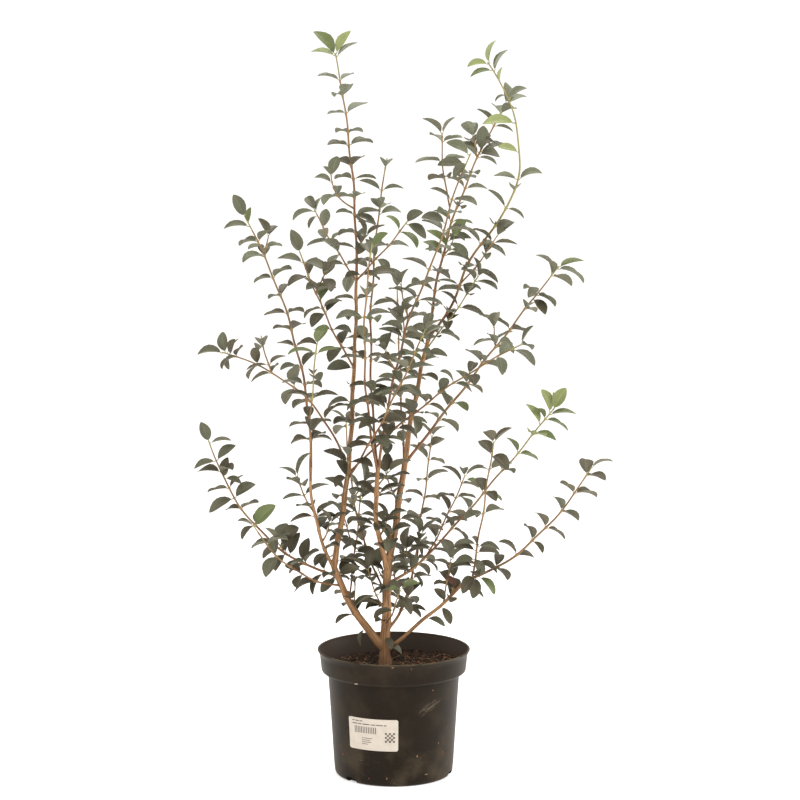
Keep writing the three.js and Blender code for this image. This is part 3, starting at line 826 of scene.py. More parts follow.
def soilSkin(name, light, dark, size):
    skin, tree, shader = startSkin(name, specular=0.15, roughness=0.9)
    place = objectPlace(tree)
    cloud = blotches(tree, place, size, low=0.36, high=0.64)
    grain = cloudNoise(tree, place, scale=1.6 / size, detail=3.0)
    relief = bump(tree, grain, strength=0.6, distance=0.001)
    fill(tree, shader, {"Base Color": mixColour(tree, cloud, dark, light), "Normal": relief})
    return skin


def makeCompost():
    rings, segments, edge = compost["rings"], compost["segments"], compost["edgeRadius"]
    gap, foot = compost["gap"], pot["floor"] + compost["floorGap"]
    inside = wallRadius(pot["wallFrom"]) - pot["wall"] - gap
    ledge = pot["wallTopRadius"] - pot["wall"] - gap
    profile = [(0.0, foot), (inside - compost["footTurn"], foot), (inside, pot["wallFrom"])]
    profile.append((ledge, collarFoot + pot["wall"] + gap))
    profile.append((edge, collarFoot + pot["collarRound"] + compost["edgeGap"]))
    sides = len(profile) - 1
    profile += [(edge * (1 - step / rings), compost["level"]) for step in range(rings + 1)]
    mesh = turnedMesh("compost_bed", profile, segments, sharpAngle=60)
    topStart = 2 + sides * segments
    for index, vert in enumerate(mesh.vertices):
        if index >= topStart or index == 1:
            vert.co.z = compostTop(vert.co.x, vert.co.y)
    isOpen = np.zeros(len(mesh.polygons), np.float32)
    for face in mesh.polygons:
        if all(corner >= topStart or corner == 1 for corner in face.vertices):
            isOpen[face.index] = 1.0
    addAttribute(mesh, "open", "FLOAT", "FACE", isOpen)
    bed = newPiece("compost_bed", mesh)
    mesh.materials.append(soilSkin("compost", compost["soil"], compost["soilDark"], size=0.004))
    least = compost["litterLeast"]
    for kind, bits in strewn.items():
        seed, colour = bits["seed"], strewnColours[kind]
        shapes = [crumbMesh(kind, seed + shape, bits["flat"]) for shape in range(crumb["shapes"])]
        store = shapeStore(kind, shapes)
        skin = soilSkin("compost " + kind, colour, darker(colour, share=0.5), size=0.003)
        strewnOn = mesh.copy()
        if kind in ("chips", "flakes"):  # more of them towards the right at the front
            litter = [least + (1 - least) * litterShare(*face.center[:2]) for face in mesh.polygons]
            strewnOn.attributes["open"].data.foreach_set("value", isOpen * np.array(litter, np.float32))
        smallest, largest = bits["sizes"]
        settings = {
            "Bits": store, "Density": float(bits["density"]), "Smallest": smallest, "Largest": largest,
            "Tumble": bits["tumble"], "Seed": seed, "Skin": skin,
        }
        piece = growPiece("compost_" + kind, strewnOn, strewTree, settings)
        dropStore(store)
        finishPiece(piece, "compost", "compost")
    finishPiece(bed, "compost", "compost")


def lineMesh(name, lines):  # each line is its points, with their radii, runs along the line and knobs
    points, edges, radii, runs, knobs = [], [], [], [], []
    for linePoints, lineRadii, lineRuns, lineKnobs in lines:
        first = len(points)
        points += [tuple(spot) for spot in linePoints]
        edges += [(first + step, first + step + 1) for step in range(len(linePoints) - 1)]
        radii += list(lineRadii)
        runs += list(lineRuns)
        knobs += list(lineKnobs)
    mesh = bpy.data.meshes.new(name)
    mesh.from_pydata(points, edges, [])
    for title, values in (("girth", radii), ("run", runs), ("knob", knobs)):
        addAttribute(mesh, title, "FLOAT", "POINT", np.array(values, np.float32))
    return mesh


def makeFibres():
    lines, draw = [], fibres["draws"]
    for index in range(fibres["count"]):
        reach = fibres["reach"] * math.sqrt(chance(index, draw["reach"]))
        turn = 2 * math.pi * chance(index, draw["bearing"])
        x, y = reach * math.cos(turn), reach * math.sin(turn)
        if chance(index, draw["kept"]) > fibres["least"] + (1 - fibres["least"]) * litterShare(x, y):
            continue
        heading = 2 * math.pi * chance(index, draw["heading"])
        curve = (chance(index, draw["curve"]) - 0.5) * fibres["curve"]
        length = pick(fibres["length"], index, draw["length"])
        radius = pick(fibres["radius"], index, draw["radius"])
        arch = fibres["arch"] * chance(index, draw["arch"])
        points, steps = [], fibres["steps"]
        for step in range(steps + 1):
            rise = fibres["lift"] + arch * math.sin(math.pi * step / steps)
            points.append((x, y, compostTop(x, y) + rise))
            heading += curve / steps
            x += math.cos(heading) * length / steps
            y += math.sin(heading) * length / steps
        if max(math.hypot(spot[0], spot[1]) for spot in points) > fibres["limit"]:
            continue
        runs = np.linspace(0.0, length, steps + 1)
        lines.append((points, radius * (1 - fibres["taper"] * runs / length), runs, 0.0 * runs))
    for x, y, heading, length, radius in straws:
        runs = np.linspace(0.0, length, fibres["strawPoints"])
        across, along = math.cos(math.radians(heading)), math.sin(math.radians(heading))
        points = [(x + run * across, y + run * along) for run in runs]
        points = [(*spot, compostTop(*spot) + fibres["strawLift"]) for spot in points]
        lines.append((points, radius * (1 - fibres["strawTaper"] * runs / length), runs, 0.0 * runs))
    skin = soilSkin("dry fibre", fibres["colour"], darker(fibres["colour"], share=0.55), size=0.004)
    draft = lineMesh("compost_fibres", lines)
    piece = growPiece("compost_fibres", draft, tubeTree, {"Sides": fibres["sides"], "Skin": skin})
    finishPiece(piece, "compost", "compost")


def outsideRadius(height):
    if height < collarFoot:
        return wallRadius(height)
    heights = (collarFoot, pot["height"] - pot["lipHeight"], pot["height"])
    return np.interp(height, heights, (pot["collarFootRadius"], pot["collarTopRadius"], pot["rimRadius"]))


def makeStrays():
    kinds = sorted({row[-1] for row in strays})
    verts, faces, skins = [], [], []
    for index, (bearing, height, width, length, kind) in enumerate(strays):
        bit = crumbMesh("stray", index, strayFlat)
        turn = math.radians(bearing)
        across = np.array((math.cos(turn), math.sin(turn), 0.0))
        out = np.array((math.sin(turn), -math.cos(turn), 0.0))
        middle = out * outsideRadius(height) + up * height
        faces += [tuple(corner + len(verts) for corner in face.vertices) for face in bit.polygons]
        skins += [kinds.index(kind)] * len(bit.polygons)
        for x, y, z in (vert.co for vert in bit.vertices):
            verts.append(middle + across * x * width + up * y * length + out * z * width)
        bpy.data.meshes.remove(bit)
    mesh = plainMesh("stray_bits", verts, faces)
    for kind in kinds:
        mesh.materials.append(bpy.data.materials["compost " + kind])
    mesh.polygons.foreach_set("material_index", skins)
    finishPiece(newPiece("stray_bits", mesh), "compost", "compost")


makeCompost()
makeFibres()
makeStrays()


# The plant's limbs: name, parent, share of the parent's length, tip, how far the middle bends, diameters

trunk = dict(
    foot=(-0.013, 0.0, 0.1653), tip=(-0.008, 0.0, 0.320), bend=(-0.00125, 0.0, 0.0),
    diameters=(0.0164, 0.012), flareRadius=0.0022, flareHeight=0.010, buried=0.012, key=90,
    lobes=5, lobeReach=0.0112, lobeRise=0.034, lobeShift=0.3, lobePoints=9, lobeRadii=(0.0030, 0.0036),
    lobeTop=0.002, lobeBend=(0.0062, 0.006),  # out from the trunk's middle, and how high
)
boughs = [
    ("bough_left", "trunk", 0.16, (-0.089, -0.015, 0.318), (-0.0055, 0, -0.006), (0.012, 0.0094)),
    ("bough_left_tall", "bough_left", 1, (-0.067, -0.010, 0.465), (0, 0, 0), (0.009, 0.0076)),
    ("bough_left_outer", "bough_left", 0.93, (-0.122, -0.045, 0.475), (-0.012, 0, 0), (0.005, 0.0042)),
    ("bough_left_upper", "bough_left_tall", 1, (-0.058, 0, 0.625), (0, 0, 0), (0.007, 0.0058)),
    ("bough_left_top", "bough_left_upper", 1, (-0.055, 0.010, 0.755), (0, 0, 0), (0.0054, 0.0046)),
    ("bough_centre_right", "trunk", 1, (0.0175, 0.030, 0.475), (0.001, 0, 0), (0.0108, 0.009)),
    ("bough_centre_left", "trunk", 0.95, (-0.022, -0.040, 0.475), (-0.010, 0, 0), (0.008, 0.0064)),
    ("bough_right_tall", "bough_centre_right", 1, (0.055, 0.060, 0.665), (-0.003, 0, 0), (0.0078, 0.0056)),
    ("bough_right_low", "trunk", 0.14, (0.110, -0.040, 0.305), (0, 0, -0.004), (0.0062, 0.0048)),
    ("bough_right_mid", "trunk", 0.8, (0.055, 0.040, 0.330), (0, 0, -0.004), (0.0048, 0.0038)),
    ("bough_back", "trunk", 0.32, (0.025, 0.080, 0.265), (0, 0, -0.006), (0.005, 0.004)),
]
masses = [
    ("mass_left_long", "bough_left_outer", 1, (-0.215, -0.090, 0.850), (0.025, 0, 0), 0.0042),
    ("mass_left_side", "bough_left", 0.91, (-0.272, -0.060, 0.517), (-0.020, 0, -0.034), 0.004),
    ("mass_left_low", "bough_left", 0.80, (-0.204, -0.120, 0.402), (-0.008, 0, -0.020), 0.003),
    ("mass_left_mid", "bough_left_tall", 0.96, (-0.260, 0.090, 0.630), (0.030, 0, 0.024), 0.0036),
    ("mass_cross_inner", "bough_left_tall", 0.9, (0.045, -0.150, 0.690), (0, -0.020, -0.010), 0.0034),
    ("mass_cross_right", "bough_left_tall", 0.96, (0.185, -0.110, 0.665), (0, 0.030, 0.014), 0.0034),
    ("mass_left_upper", "bough_left_upper", 0.95, (-0.135, -0.110, 0.800), (-0.002, 0, -0.008), 0.003),
    ("mass_top_left", "bough_left_top", 1, (-0.0858, 0.030, 1.081), (0.008, 0, 0), 0.004),
    ("mass_top_back", "bough_left_top", 0.94, (-0.120, 0.110, 0.845), (0, 0, -0.005), 0.0026),
    ("mass_top_front", "bough_left_top", 0.94, (0.020, -0.070, 0.840), (0, 0, -0.003), 0.0026),
    ("mass_centre_front", "bough_centre_left", 0.94, (-0.030, -0.170, 0.815), (-0.015, 0, 0), 0.0036),
    ("mass_centre_back", "bough_centre_left", 0.96, (-0.010, 0.060, 0.925), (-0.017, 0, 0), 0.0038),
    ("mass_centre_right", "bough_centre_left", 1, (0.110, -0.120, 0.940), (-0.019, 0, 0), 0.004),
    ("mass_right_top", "bough_right_tall", 1, (0.170, 0.120, 1.005), (-0.022, 0, 0), 0.0042),
    ("mass_right_hook", "bough_right_tall", 0.95, (0.1385, 0.010, 1.068), (0.086, 0, 0.014), 0.0042),
    ("mass_right_upper", "bough_centre_right", 0.96, (0.250, 0.100, 0.760), (0, 0, 0), 0.0046),
    ("mass_back_upper", "bough_centre_right", 0.92, (0.005, 0.190, 0.720), (0, 0.020, -0.010), 0.0032),
    ("mass_right_mid", "bough_right_mid", 1, (0.245, 0.090, 0.545), (0, 0, -0.004), 0.0036),
    ("mass_right_back", "bough_right_mid", 0.9, (0.110, 0.150, 0.430), (0, 0, -0.006), 0.0028),
    ("mass_right_low", "bough_right_low", 1, (0.290, -0.080, 0.480), (0.004, 0, -0.027), 0.0042),
    ("mass_right_upright", "mass_right_low", 0.03, (0.145, -0.130, 0.525), (0, 0, 0), 0.0032),
    ("mass_back_right", "bough_back", 1, (0.060, 0.235, 0.480), (0, 0, -0.010), 0.0036),
    ("mass_back_left", "trunk", 0.7, (-0.075, 0.200, 0.510), (-0.012, 0, -0.020), 0.0034),
    ("mass_inner_left", "bough_left", 0.62, (-0.050, 0.075, 0.415), (0, 0, -0.006), 0.0028),
    ("mass_low_front", "trunk", 0.42, (0.010, -0.095, 0.300), (0, 0, -0.006), 0.0026),
    ("mass_left_inner", "bough_left_outer", 0.88, (-0.110, -0.130, 0.668), (-0.004, -0.016, -0.006), 0.0028),
]
boughKeys = 100  # the masses' keys start at 0, so that each limb draws its own chances
sways = {  # a swing beside the bend: share where it is widest, its reach and its size
    "mass_right_hook": (0.27, 0.15, (-0.027, 0.0, 0.0)),
    "mass_centre_right": (0.70, 0.14, (0.009, 0.0, 0.0)),
}
sideShoots = [  # limb, share, tip, the mass it belongs to and how soon it turns upright
    ("mass_centre_right", 0.83, (0.070, -0.100, 0.968), "mass_centre_right", 1.0),
    ("mass_top_left", 0.3, (-0.092, 0.005, 0.902), "mass_top_left", 1.0),
    ("mass_right_hook", 0.21, (0.154, 0.030, 0.8115), "mass_right_hook", 0.2),
    ("bough_right_tall", 0.85, (0.126, 0.030, 0.751), "mass_right_hook", 0.1),
]

shoot = dict(
    internodeSpread=0.16, tipRadius=0.001, wander=0.0012, wanderLength=0.10, wanderFront=0.8, sides=9,
    twigLength=(0.035, 0.090), twigAngle=36.0, twigRise=0.3, twigRadii=(0.0013, 0.0008), twigLowest=-0.05,
    twigInternode=0.024, twigBare=0.2, twigRoom=0.003,
    twigGreen=0.1, twigTan=0.3,  # how much sooner twigs are green or tan
    spurLength=(0.018, 0.032), spurAngle=50.0, nodeSwell=0.55, nodeLength=0.0026, nodeRadius=0.0016,
    collarSwell=0.5, collarReach=2.2, collarMost=0.96, reachSpare=0.012, uprightFrom=0.4,
    endReaches=(0.5, 0.85, 1.0), endSizes=(0.86, 0.52, 0.12), grainShift=0.37, samples=201, headingStep=0.01,
)
# The share of each shoot's length where brown turns to tan, then to green, and where fresh leaves start
tanFrom = {
    "mass_right_hook": 0.16, "mass_right_top": 0.4, "mass_left_mid": 0.4, "mass_left_inner": 0.2,
    "mass_right_low": 0.2, "mass_right_upright": 0.05, "mass_right_mid": 0.3, "mass_right_upper": 0.2,
}
greenFrom = {"mass_top_left": 0.88, "mass_right_hook": 0.42, "mass_right_mid": 0.66, "mass_left_inner": 0.62}
freshFrom = {"mass_top_left": 0.95, "mass_right_hook": 0.90, "mass_right_mid": 0.66, "mass_left_inner": 0.90}
usualTan, usualGreen, usualFresh = 0.5, 0.94, 2.0  # the last is past the tip: no fresh leaves
shootHabit = dict(
    internode=0.035, twigs=0.12, spurs=0.14, twigsFrom=0.0, twigsTo=1.0, leaves=1.0, bare=0.06, last=1.0,
)
boughHabit = dict(internode=0.021, twigs=0.36, spurs=0.28, leaves=0.92, leafInternode=0.028)
ownHabits = dict(  # where a shoot differs: bare up to a share, and its own chances of leaves and twigs
    mass_back_right=dict(leaves=0.95, internode=0.030, twigs=0.0, spurs=0.06),
    mass_back_upper=dict(leaves=0.45, twigs=0.0, spurs=0.0),
    mass_back_left=dict(leaves=0.5, internode=0.030),
    mass_centre_back=dict(leaves=0.72, internode=0.030, twigs=0.05, spurs=0.08),
    mass_centre_front=dict(leaves=0.8, twigs=0.03, spurs=0.02, last=0.97),
    mass_top_front=dict(leaves=0.65, twigs=0.03, spurs=0.06, last=0.95),
    mass_cross_inner=dict(bare=0.2, twigs=0.1, spurs=0.2, twigsFrom=0.6, internode=0.026),
    mass_cross_right=dict(bare=0.2, twigs=0.04, spurs=0.06, internode=0.029),
    mass_left_long=dict(internode=0.029, twigs=0.08, spurs=0.1, last=0.93),
    mass_left_mid=dict(bare=0.24, twigs=0.04, spurs=0.18, twigsFrom=0.55, last=0.94),
    mass_left_inner=dict(bare=0.2, twigs=0.0, spurs=0.0),
    mass_left_upper=dict(internode=0.031, leaves=0.85, twigs=0.0, spurs=0.05, last=0.97),
    mass_left_side=dict(internode=0.034, twigs=0.08, spurs=0.1, twigsTo=0.5, last=0.93),
    mass_left_low=dict(bare=0.1, internode=0.030, leaves=0.8, spurs=0.15, last=0.93),
    mass_top_back=dict(internode=0.028, leaves=0.8, twigs=0.05, last=0.9),
    mass_top_left=dict(internode=0.025, twigs=0.2, spurs=0.2, twigsTo=0.36, last=0.88),
    mass_right_upper=dict(bare=0.2, twigs=0.08, spurs=0.12, last=0.96),
    mass_right_upright=dict(bare=0.46, twigs=0.04, spurs=0.08),
    mass_centre_right=dict(internode=0.028, twigs=0.18, spurs=0.22, twigsFrom=0.3, last=0.95),
    mass_right_top=dict(internode=0.027, twigs=0.05, spurs=0.3),
    mass_right_hook=dict(twigs=0.0, spurs=0.05, last=0.58),
    mass_right_low=dict(twigs=0.0, spurs=0.06, twigsTo=0.3, internode=0.032),
    mass_right_mid=dict(twigs=0.05, spurs=0.12),
    mass_low_front=dict(bare=0.35),
    mass_inner_left=dict(internode=0.024, twigs=0.2, spurs=0.22),
    mass_right_back=dict(internode=0.028),
)
leafyBoughs = dict(  # the stretch of each limb that twigs and leaves stand on
    trunk=(0.38, 0.98), bough_left=(0.46, 0.98), bough_left_tall=(0.04, 0.75), bough_left_outer=(0.08, 0.6),
    bough_left_upper=(0.3, 0.9), bough_left_top=(0.1, 0.9), bough_centre_right=(0.06, 0.9),
    bough_centre_left=(0.08, 0.9), bough_right_tall=(0.3, 0.95), bough_right_low=(0.6, 0.98),
    bough_right_mid=(0.25, 0.95), bough_back=(0.4, 0.95),
)
twiggyBelow = 0.46  # twigs stand on the trunk and boughs up to this height
# Leaves that stand out, by limb: share, turn, length, angle, droop, how far they face the front, kind
# The kinds of these leaves also paint light and shade: glare-lit ones near the top, dark ones in the shade
# inside and low down
placedLeaves = [
    ("mass_top_left", [
        (0.995, 10, 0.044, 25, 0.0, 0.9, "young"), (0.998, 175, 0.038, 38, 0.0, 0.7, "pale"),
        (0.985, 190, 0.036, 54, 0.0, 0.0, "hazy"), (0.990, 355, 0.036, 60, 0.0, 0.4, "pale"),
    ]),
    ("mass_right_hook", [
        (0.995, 0, 0.030, 56, 0.0, 0.9, "pale"), (0.972, 5, 0.032, 70, 0.0, 0.5, "young"),
        (0.995, 180, 0.034, 34, 0.0, 0.0, "pale"), (0.965, 185, 0.036, 48, 0.0, 0.0, "hazy"),
        (0.930, 180, 0.020, 30, 0.0, 0.0, "pale"), (0.868, 180, 0.030, 74, 0.0, 0.8, "hazy"),
        (0.862, 195, 0.036, 78, 0.0, 0.2, "hazy"), (0.880, 5, 0.018, 60, 0.3, 0.3, "middle"),
        (0.785, 5, 0.046, 74, 0.0, 0.9, "pale"), (0.690, 20, 0.032, 50, 0.2, 1.0, "pale"),
        (0.600, 180, 0.036, 44, 0.0, 0.5, "hazy"), (0.600, 0, 0.034, 84, 0.0, 0.3, "hazy"),
    ]),
    ("mass_right_mid", [
        (0.990, 60, 0.036, 28, 0.0, 1.0, "pale"), (0.965, 10, 0.036, 52, 0.0, 0.8, "pale"),
        (0.955, 185, 0.040, 44, 0.0, 0.0, "young"), (0.885, 10, 0.036, 66, 0.0, 0.8, "pale"),
        (0.830, 175, 0.034, 66, 0.0, 0.6, "young"),
    ]),
    ("mass_left_low", [(0.985, 180, 0.042, 56, 0.0, 1.2, "young")]),
    ("mass_right_upper", [
        (0.998, 180, 0.038, 36, 0.0, 0.2, "young"), (0.990, 190, 0.048, 58, 0.1, 0.2, "hazy"),
        (0.985, 0, 0.036, 78, 0.0, 0.3, "middle"),
    ]),
    ("mass_left_mid", [
        (0.998, 0, 0.042, 20, 0.0, 0.4, "middle"), (0.985, 170, 0.031, 62, 0.0, 1.6, "middle"),
        (0.975, 185, 0.027, 104, 0.0, 0.2, "middle"), (0.960, 140, 0.030, 100, 0.0, 1.6, "dark"),
        (0.965, 10, 0.022, 96, 0.3, 0.8, "middle"),
    ]),
    ("mass_left_long", [
        (0.995, 90, 0.034, 8, 0.0, 1.3, "middle"), (0.970, 150, 0.022, 34, 0.0, 1.0, "young"),
        (0.955, 0, 0.036, 58, 0.0, 0.3, "middle"),
    ]),
    ("mass_left_upper", [
        (0.995, 100, 0.036, 8, 0.0, 1.4, "middle"), (0.600, 175, 0.036, 36, 0.0, 0.7, "young"),
    ]),
    ("mass_top_back", [
        (0.995, 90, 0.030, 8, 0.0, 1.2, "middle"), (0.985, 0, 0.036, 62, 0.0, 0.0, "hazy"),
        (0.980, 185, 0.026, 36, 0.0, 0.0, "hazy"), (0.930, 15, 0.022, 104, 0.4, 0.8, "middle"),
    ]),
    ("mass_top_front", [(0.995, 95, 0.032, 20, 0.0, 1.4, "middle")]),
    ("mass_centre_front", [(0.990, 150, 0.031, 34, 0.0, 1.3, "young")]),
    ("mass_right_upper", [
        (0.860, 60, 0.036, 80, 0.3, 1.0, "middle"), (0.835, 120, 0.034, 80, 0.4, 1.0, "dark"),
    ]),
    ("trunk", [
        (0.610, 20, 0.026, 75, 0.1, 1.6, "dark"), (0.290, 115, 0.022, 64, 0.9, 0.6, "dark"),
        (0.200, 165, 0.026, 66, 0.8, 0.8, "middle"),
    ]),
    ("bough_left", [(0.300, 20, 0.026, 80, 1.3, 0.0, "dark")]),
    ("bough_right_low", [
        (0.860, 10, 0.026, 66, 0.0, 0.9, "dead"), (0.730, 30, 0.026, 70, 0.0, 1.6, "dark"),
        (0.665, 150, 0.028, 80, 0.6, 1.4, "dark"), (0.490, 180, 0.028, 56, 0.2, 0.5, "middle"),
    ]),
    ("mass_left_low", [(0.995, 0, 0.024, 27, 0.0, 0.0, "middle")]),
    ("bough_left_upper", [
        (0.640, 0, 0.036, 84, 0.0, 0.4, "middle"), (0.640, 180, 0.038, 84, 0.0, 0.6, "middle"),
        (0.950, 0, 0.038, 84, 0.0, 1.6, "middle"),
    ]),
    ("mass_right_top", [
        (0.780, 30, 0.036, 22, 0.0, 1.2, "hazy"), (0.770, 350, 0.032, 84, 0.0, 0.9, "middle"),
        (0.775, 170, 0.040, 44, 0.0, 0.3, "middle"), (0.765, 190, 0.042, 64, 0.0, 1.2, "middle"),
    ]),
    ("mass_centre_right", [
        (0.995, 0, 0.036, 62, 0.2, 1.0, "hazy"), (0.965, 0, 0.038, 88, 0.3, 1.1, "middle"),
        (0.970, 50, 0.028, 96, 0.5, 1.3, "middle"),
    ]),
    ("mass_right_low", [
        (0.050, 110, 0.032, 90, 0.5, 1.4, "dark"), (0.070, 180, 0.034, 60, 0.4, 0.5, "young"),
    ]),
    ("bough_right_tall", [
        (0.900, 20, 0.036, 70, 0.1, 0.9, "middle"), (0.820, 200, 0.036, 70, 0.1, 0.9, "middle"),
        (0.970, 340, 0.034, 60, 0.0, 1.2, "middle"), (0.720, 10, 0.034, 76, 0.2, 0.4, "dark"),
    ]),
    ("mass_right_top", [
        (0.380, 180, 0.036, 60, 0.0, 1.0, "middle"), (0.330, 0, 0.034, 66, 0.0, 0.9, "young"),
    ]),
    ("mass_right_hook", [(0.290, 0, 0.036, 64, 0.0, 0.8, "hazy")]),
    ("mass_centre_right", [(0.780, 0, 0.036, 66, 0.0, 0.9, "middle")]),
    ("mass_top_front", [(0.970, 180, 0.034, 80, 0.1, 0.9, "middle")]),
    ("mass_centre_back", [
        (0.780, 20, 0.034, 64, 0.0, 0.9, "middle"), (0.820, 190, 0.034, 64, 0.0, 0.8, "hazy"),
    ]),
    ("mass_right_upright", [
        (0.250, 0, 0.032, 62, 0.3, 0.2, "middle"), (0.205, 345, 0.034, 66, 0.3, 0.4, "dark"),
        (0.140, 20, 0.030, 70, 0.2, 0.7, "middle"), (0.085, 0, 0.036, 72, 0.2, 0.2, "dark"),
        (0.235, 180, 0.032, 60, 0.3, 0.2, "middle"), (0.190, 195, 0.038, 62, 0.5, 0.5, "dark"),
        (0.120, 170, 0.034, 68, 0.4, 0.3, "dark"), (0.150, 150, 0.026, 90, 0.8, 1.0, "middle"),
        (0.240, 70, 0.026, 30, 0.0, 1.2, "dark"), (0.050, 100, 0.030, 60, 0.0, 1.6, "dark"),
        (0.020, 90, 0.034, 80, 0.3, 1.6, "dark"),
    ]),
    ("bough_left", [
        (0.890, 40, 0.030, 84, 0.4, 1.4, "middle"), (0.930, 150, 0.034, 70, 0.2, 1.3, "dark"),
        (0.900, 190, 0.032, 66, 0.2, 0.6, "dark"),
    ]),
    ("mass_inner_left", [
        (0.400, 180, 0.040, 80, 0.6, 0.8, "dark"), (0.460, 190, 0.036, 66, 0.2, 1.2, "dark"),
    ]),
    ("mass_left_side", [
        (0.995, 90, 0.030, 8, 0.0, 1.0, "middle"), (0.985, 180, 0.030, 74, 0.2, 0.0, "middle"),
        (0.680, 0, 0.040, 74, 0.3, 0.9, "middle"), (0.680, 180, 0.036, 64, 0.1, 1.0, "middle"),
        (0.800, 140, 0.030, 34, 0.0, 1.5, "dark"), (0.890, 0, 0.033, 66, 0.3, 0.7, "middle"),
        (0.890, 180, 0.034, 54, 0.2, 0.7, "middle"), (0.790, 175, 0.024, 96, 0.4, 1.0, "middle"),
        (0.180, 180, 0.036, 62, 0.1, 0.9, "dark"), (0.270, 170, 0.036, 74, 0.1, 1.1, "dark"),
        (0.370, 190, 0.034, 66, 0.2, 0.8, "middle"), (0.130, 150, 0.032, 84, 0.2, 1.3, "dark"),
    ]),
]
draws = dict(  # what each chance decides, as the last key that it is drawn by
    wanderSide=31, wanderFront=32, lobe=40, spacing=12, firstTurn=10, twigs=50, twigKind=5, twigTurn=6,
    twigLength=7, ownTwig=8, ownShoot=10, placed=95, borne=13, swerve=14, length=15, tipSize=16, tipAngle=17,
    angle=18, curl=60, fold=61, twist=62, sway=63, form=70, tilt=71, fresh=80, tint=81,
)


def unit(vector):
    return vector / np.linalg.norm(vector)


def curved(start, middle, tip, share):
    return (1 - share) ** 2 * start + 2 * share * (1 - share) * middle + share ** 2 * tip


class Limb:
    def __init__(self, name, start, middle, tip, radii, keys, parentRadius, sway=None):
        share = np.linspace(0.0, 1.0, shoot["samples"])[:, None]
        self.name, self.radii, self.keys, self.parentRadius = name, radii, keys, parentRadius
        points = curved(start, middle, tip, share)
        chord = unit(tip - start)
        side = unit(np.cross(chord, acrossView + 0.01))  # a little aside, because a limb may run along it
        front = np.cross(chord, side)
        turns = share * np.linalg.norm(tip - start) / shoot["wanderLength"]
        size = shoot["wander"] * np.sin(math.pi * share)
        points = points + side * size * np.sin(2 * math.pi * (turns + chance(*keys, draws["wanderSide"])))
        turns = turns * shoot["wanderFront"]
        points = points + front * size * np.sin(2 * math.pi * (turns + chance(*keys, draws["wanderFront"])))
        if sway:
            widest, reach, swing = sway
            points = points + np.exp(-((share - widest) / reach) ** 2) * np.array(swing)
        self.points = points
        self.runs = np.concatenate(([0.0], np.cumsum(np.linalg.norm(np.diff(points, axis=0), axis=1))))
        self.length = self.runs[-1]
        self.nodes = []

    def at(self, share):
        runs = np.clip(share, 0.0, 1.0) * self.length
        return np.stack([np.interp(runs, self.runs, self.points[:, axis]) for axis in range(3)], axis=-1)

    def heading(self, share):
        step = shoot["headingStep"]
        return unit(self.at(min(1.0, share + step)) - self.at(max(0.0, share - step)))

    def radius(self, share):
        return self.radii[0] + (self.radii[1] - self.radii[0]) * share

    def line(self, step, first=0.0, last=1.0):  # points, radii, runs and knobs, thicker at start and nodes
        count = max(4, round(self.length * (last - first) / step))
        shares = np.linspace(first, last, count + 1)
        runs = shares * self.length
        radii = self.radius(shares)
        past = np.maximum(0.0, runs - self.parentRadius)
        swell = shoot["collarSwell"] * np.exp(-past / (shoot["collarReach"] * self.radii[0]))
        radii = np.minimum(radii * (1 + swell), np.maximum(radii, shoot["collarMost"] * self.parentRadius))
        knobs = np.zeros_like(runs)
        for share in self.nodes:
            knobs = np.maximum(knobs, np.exp(-((runs - share * self.length) / shoot["nodeLength"]) ** 2))
        radii = radii * (1 + knobs * shoot["nodeSwell"] * np.minimum(1.0, shoot["nodeRadius"] / radii))
        points = self.at(shares)
        if last == 1.0:  # a rounded end
            heading, reaches = self.heading(1.0), np.array(shoot["endReaches"])
            points = np.vstack((points, [points[-1] + heading * radii[-1] * reach for reach in reaches]))
            radii = np.concatenate((radii, radii[-1] * np.array(shoot["endSizes"])))
            runs = np.concatenate((runs, runs[-1] + self.radii[1] * reaches))
            knobs = np.concatenate((knobs, 0.0 * reaches))
        return points, radii, runs + shoot["grainShift"] * self.keys[0], knobs


limbs = {}


def bentMiddle(start, tip, bend):
    return (start + tip) / 2 + 2 * np.array(bend, float)


def growLimb(name, parent, share, place, bend, radii, key):
    start, tip = limbs[parent].at(share), np.array(place)
    middle, parentRadius = bentMiddle(start, tip, bend), limbs[parent].radius(share)
    limbs[name] = Limb(name, start, middle, tip, radii, (key,), parentRadius, sways.get(name))


def growLimbs():
    foot, tip = np.array(trunk["foot"]), np.array(trunk["tip"])
    radii = tuple(size / 2 for size in trunk["diameters"])
    middle = bentMiddle(foot, tip, trunk["bend"])
    limbs["trunk"] = Limb("trunk", foot, middle, tip, radii, (trunk["key"],), parentRadius=0.0)
    for index, (*row, sizes) in enumerate(boughs):
        growLimb(*row, tuple(size / 2 for size in sizes), boughKeys + index)
    for index, (*row, size) in enumerate(masses):
        growLimb(*row, (size / 2, shoot["tipRadius"]), index)


def around(heading, turn):  # a direction square to a limb, turned round it
    side = unit(np.cross(heading, acrossView))
    return side * math.cos(turn) + np.cross(heading, side) * math.sin(turn)


growLimbs()


# Trunk and boughs, melted into one skin with bark relief

bark = dict(
    sides=24, step=0.0022, voxel=0.00082, melt=3, depth=0.0009, ridge=0.0026, stretch=0.05,
    tan=srgb(168, 128, 89), light=srgb(182, 145, 103), crack=srgb(128, 92, 63), foot=srgb(80, 55, 36),
    footHeights=(0.168, 0.200), footShare=0.7, patchShare=0.25, knobShare=0.7,
)


